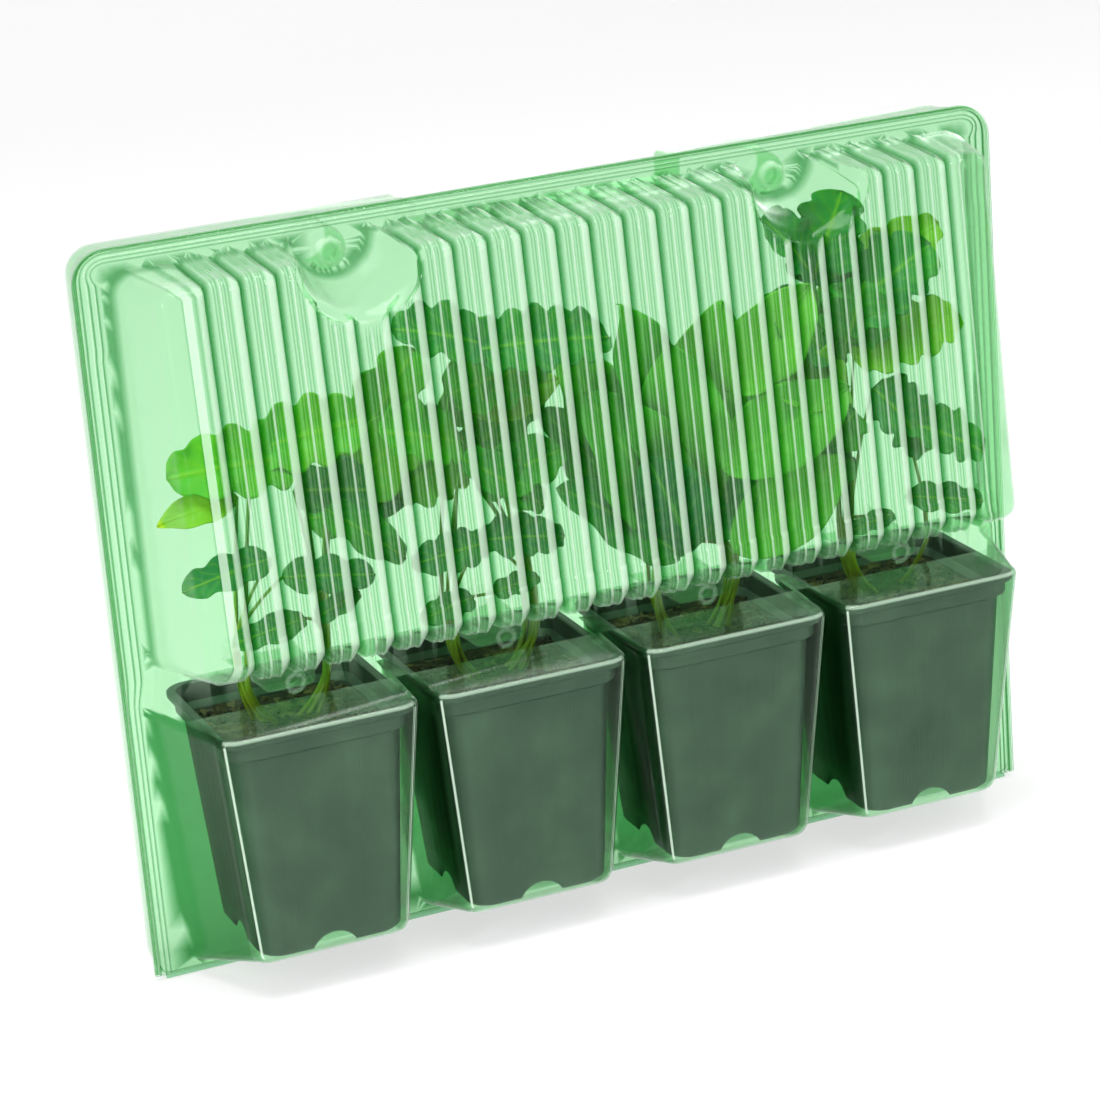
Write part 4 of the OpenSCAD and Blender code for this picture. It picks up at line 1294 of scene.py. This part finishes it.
def studio(cfg):
    """Pale floor and backdrop in one sweep, soft lamps and the camera."""
    made, tree = material("white sweep")
    # What the camera sees of the sweep, straight, mirrored or through the sheet, is lifted to
    # white; the rest is plain paint that takes the shadow
    lit = add(tree, "ShaderNodeBsdfDiffuse", {"Color": linear("#f2f2f2")})
    plain = add(tree, "ShaderNodeEmission", {"Color": linear("#ffffff"), "Strength": 1.0})
    path = add(tree, "ShaderNodeLightPath")
    direct = add(tree, "ShaderNodeMath",
                 {0: path.outputs["Is Camera Ray"], 1: path.outputs["Is Transmission Ray"]},
                 operation="MAXIMUM")
    seen = add(tree, "ShaderNodeMath", {0: direct.outputs[0], 1: path.outputs["Is Glossy Ray"]},
               operation="MAXIMUM")
    share = add(tree, "ShaderNodeMath", {0: seen.outputs[0], 1: 0.64}, operation="MULTIPLY")
    both = add(tree, "ShaderNodeMixShader",
               {0: share.outputs[0], 1: lit.outputs[0], 2: plain.outputs[0]})
    finish_material(tree, both.outputs[0])
    # The sweep's side view in metres, a hair under the pack
    line = [(-3.0, 0.0), (1.6, 0.0), (2.0, 0.06), (2.3, 0.25), (2.45, 0.6), (2.5, 1.2), (2.5, 3.6)]
    points = [(x, y, z - 0.0002) for y, z in line for x in (-4.5, 4.5)]
    faces = [(2 * i, 2 * i + 1, 2 * i + 3, 2 * i + 2) for i in range(len(line) - 1)]
    data = bpy.data.meshes.new("sweep")
    data.from_pydata(points, [], faces)
    data.materials.append(made)
    for face in data.polygons:
        face.use_smooth = True
    sweep = bpy.data.objects.new("sweep", data)
    bpy.context.scene.collection.objects.link(sweep)

    world = bpy.data.worlds.new("studio air")
    bpy.context.scene.world = world
    world.use_nodes = True
    world.node_tree.nodes["Background"].inputs["Color"].default_value = linear("#ffffff")
    world.node_tree.nodes["Background"].inputs["Strength"].default_value = 0.6

    target = Vector((0.0, 0.0, 0.12))
    lamps = (("overhead softbox", (-0.1, -0.25, 1.7), (1.3, 0.7), cfg.overhead),
             ("left softbox", (-1.5, -0.7, 0.7), (0.12, 1.2), cfg.left),
             ("right softbox", (1.5, -0.1, 0.7), (0.5, 1.1), cfg.right))
    for name, at, size, power in lamps:
        lamp = bpy.data.lights.new(name, "AREA")
        lamp.shape = "RECTANGLE"
        lamp.size, lamp.size_y = size
        lamp.energy = power
        holder = bpy.data.objects.new(name, lamp)
        holder.location = at
        holder.rotation_euler = (target - Vector(at)).to_track_quat("-Z", "Y").to_euler()
        bpy.context.scene.collection.objects.link(holder)

    camera = bpy.data.cameras.new("camera")
    camera.lens = 117.7
    camera.sensor_width = 36.0
    camera.clip_start, camera.clip_end = 0.05, 20
    holder = bpy.data.objects.new("camera", camera)
    bpy.context.scene.collection.objects.link(holder)
    forward = Vector((0.34512, 0.88418, -0.31482)).normalized()
    up = Vector((0.18962, 0.26282, 0.94603))
    right = forward.cross(up).normalized()
    up = right.cross(forward)
    matrix = [[right[i], up[i], -forward[i], at] for i, at in enumerate((-0.4477, -1.1079, 0.5251))]
    holder.matrix_world = Matrix(matrix + [[0, 0, 0, 1]])
    bpy.context.scene.camera = holder
    scene = bpy.context.scene
    scene.view_settings.view_transform = "Standard"
    scene.cycles.transparent_max_bounces = 40


# ---------------------------------------------------------------- settings, operators and panel


class PackSizes(bpy.types.PropertyGroup):
    """Sizes that can be changed without touching the frame."""

    sheet: bpy.props.FloatProperty(name="Sheet", description="Thickness of the formed sheet",
                                   default=0.0005, unit="LENGTH", precision=4)


class StageSettings(bpy.types.PropertyGroup):
    """Strength of the studio's lamps."""

    overhead: bpy.props.FloatProperty(name="Overhead", description="Power of the overhead softbox",
                                      default=30.0, min=0.0, unit="POWER")
    left: bpy.props.FloatProperty(name="Left", description="Power of the left softbox",
                                  default=16.0, min=0.0, unit="POWER")
    right: bpy.props.FloatProperty(name="Right", description="Power of the right softbox",
                                   default=9.0, min=0.0, unit="POWER")


class PackColours(bpy.types.PropertyGroup):
    """Colours of the pack, as sRGB hex."""

    front_tint: bpy.props.StringProperty(
        name="Front sheet", description="Tint of one face of the front sheet", default="#ecfbee")
    lid_tint: bpy.props.StringProperty(
        name="Lid sheet", description="Tint of one face of the lid's sheet", default="#e8f9ea")


MADE = {}


def pet(kind):
    """The sheet materials, made once each."""
    colours = bpy.context.scene.pack_colours
    finishes = {"front": ("heat-formed clear green PET", colours.front_tint, 0.012, 0.05, 0.001),
                "lid": ("heat-formed clear green PET, lid", colours.lid_tint, 0.014, 0.07, 0.004),
                "edge": ("cut edge of green PET", "#8fd6a4", 0.10, 0.25, 0.25)}
    if kind not in MADE:
        MADE[kind] = clear_pet(*finishes[kind])
    return MADE[kind]


class PACK_OT_front_shell(bpy.types.Operator):
    """Build the front shell: pockets, waist, ribbed dome and rim"""

    bl_idname = "pack.front_shell"
    bl_label = "Front shell"

    def execute(self, context):
        front_shell(pet("front"), pet("edge"), context.scene.pack_sizes)
        return {"FINISHED"}


class PACK_OT_back_lid(bpy.types.Operator):
    """Build the back lid with its posts and studs"""

    bl_idname = "pack.back_lid"
    bl_label = "Back lid"

    def execute(self, context):
        back_lid(pet("lid"), pet("edge"), context.scene.pack_sizes)
        return {"FINISHED"}


class PACK_OT_living_hinge(bpy.types.Operator):
    """Give the living hinge its creased sheet"""

    bl_idname = "pack.living_hinge"
    bl_label = "Living hinge"

    def execute(self, context):
        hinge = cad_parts["living_hinge"]
        hinge.data.materials.clear()
        hinge.data.materials.append(
            clear_pet("creased green PET of the hinge", "#c4ecd0", 0.08, 0.22, 0.08))
        return {"FINISHED"}


class PACK_OT_pots(bpy.types.Operator):
    """Build the four nursery pots"""

    bl_idname = "pack.pots"
    bl_label = "Pots"

    def execute(self, context):
        mat = pot_plastic()
        for k in range(4):
            pot(k, mat)
        return {"FINISHED"}


class PACK_OT_soil(bpy.types.Operator):
    """Fill the pots with potting mix"""

    bl_idname = "pack.soil"
    bl_label = "Soil"

    def execute(self, context):
        mat = peat()
        for k in range(4):
            soil(k, mat)
        return {"FINISHED"}


class PACK_OT_seedlings(bpy.types.Operator):
    """Grow the four seedlings"""

    bl_idname = "pack.seedlings"
    bl_label = "Seedlings"

    def execute(self, context):
        stem = stem_skin()
        common = ("#16884e", "#58bc20", "#aed41e", "#96e41e")
        fleshy = ("#148a50", "#56c02c", "#9cdc4c", "#98ea3c")
        matt = living_leaf("living leaf, matt", *common)
        waxy = living_leaf("living leaf, fleshy", *fleshy)
        for k, mat in enumerate((matt, matt, waxy, matt)):
            plant(k, mat, stem)
        return {"FINISHED"}


class PACK_OT_stage(bpy.types.Operator):
    """Set the floor, lamps and camera"""

    bl_idname = "pack.stage"
    bl_label = "Stage"

    def execute(self, context):
        studio(context.scene.pack_stage)
        return {"FINISHED"}


OPERATORS = (PACK_OT_front_shell, PACK_OT_back_lid, PACK_OT_living_hinge, PACK_OT_pots,
             PACK_OT_soil, PACK_OT_seedlings, PACK_OT_stage)
GROUPS = (("pack_sizes", PackSizes), ("pack_stage", StageSettings), ("pack_colours", PackColours))


class PACK_PT_panel(bpy.types.Panel):
    """Lists the pack's settings and pieces"""

    bl_label = "Seedling pack"
    bl_space_type = "VIEW_3D"
    bl_region_type = "UI"
    bl_category = "Seedling pack"

    def draw(self, context):
        for name, group in GROUPS:
            for key in group.__annotations__:
                self.layout.prop(getattr(context.scene, name), key)
        for operator in OPERATORS:
            self.layout.operator(operator.bl_idname)


def register():
    for name, group in GROUPS:
        bpy.utils.register_class(group)
        setattr(bpy.types.Scene, name, bpy.props.PointerProperty(type=group))
    for kind in OPERATORS + (PACK_PT_panel,):
        bpy.utils.register_class(kind)


def unregister():
    for kind in reversed(OPERATORS + (PACK_PT_panel,)):
        bpy.utils.unregister_class(kind)
    for name, group in reversed(GROUPS):
        delattr(bpy.types.Scene, name)
        bpy.utils.unregister_class(group)


def main():
    register()
    for operator in OPERATORS:
        module, name = operator.bl_idname.split(".")
        getattr(getattr(bpy.ops, module), name)()


if __name__ == "__main__":
    main()
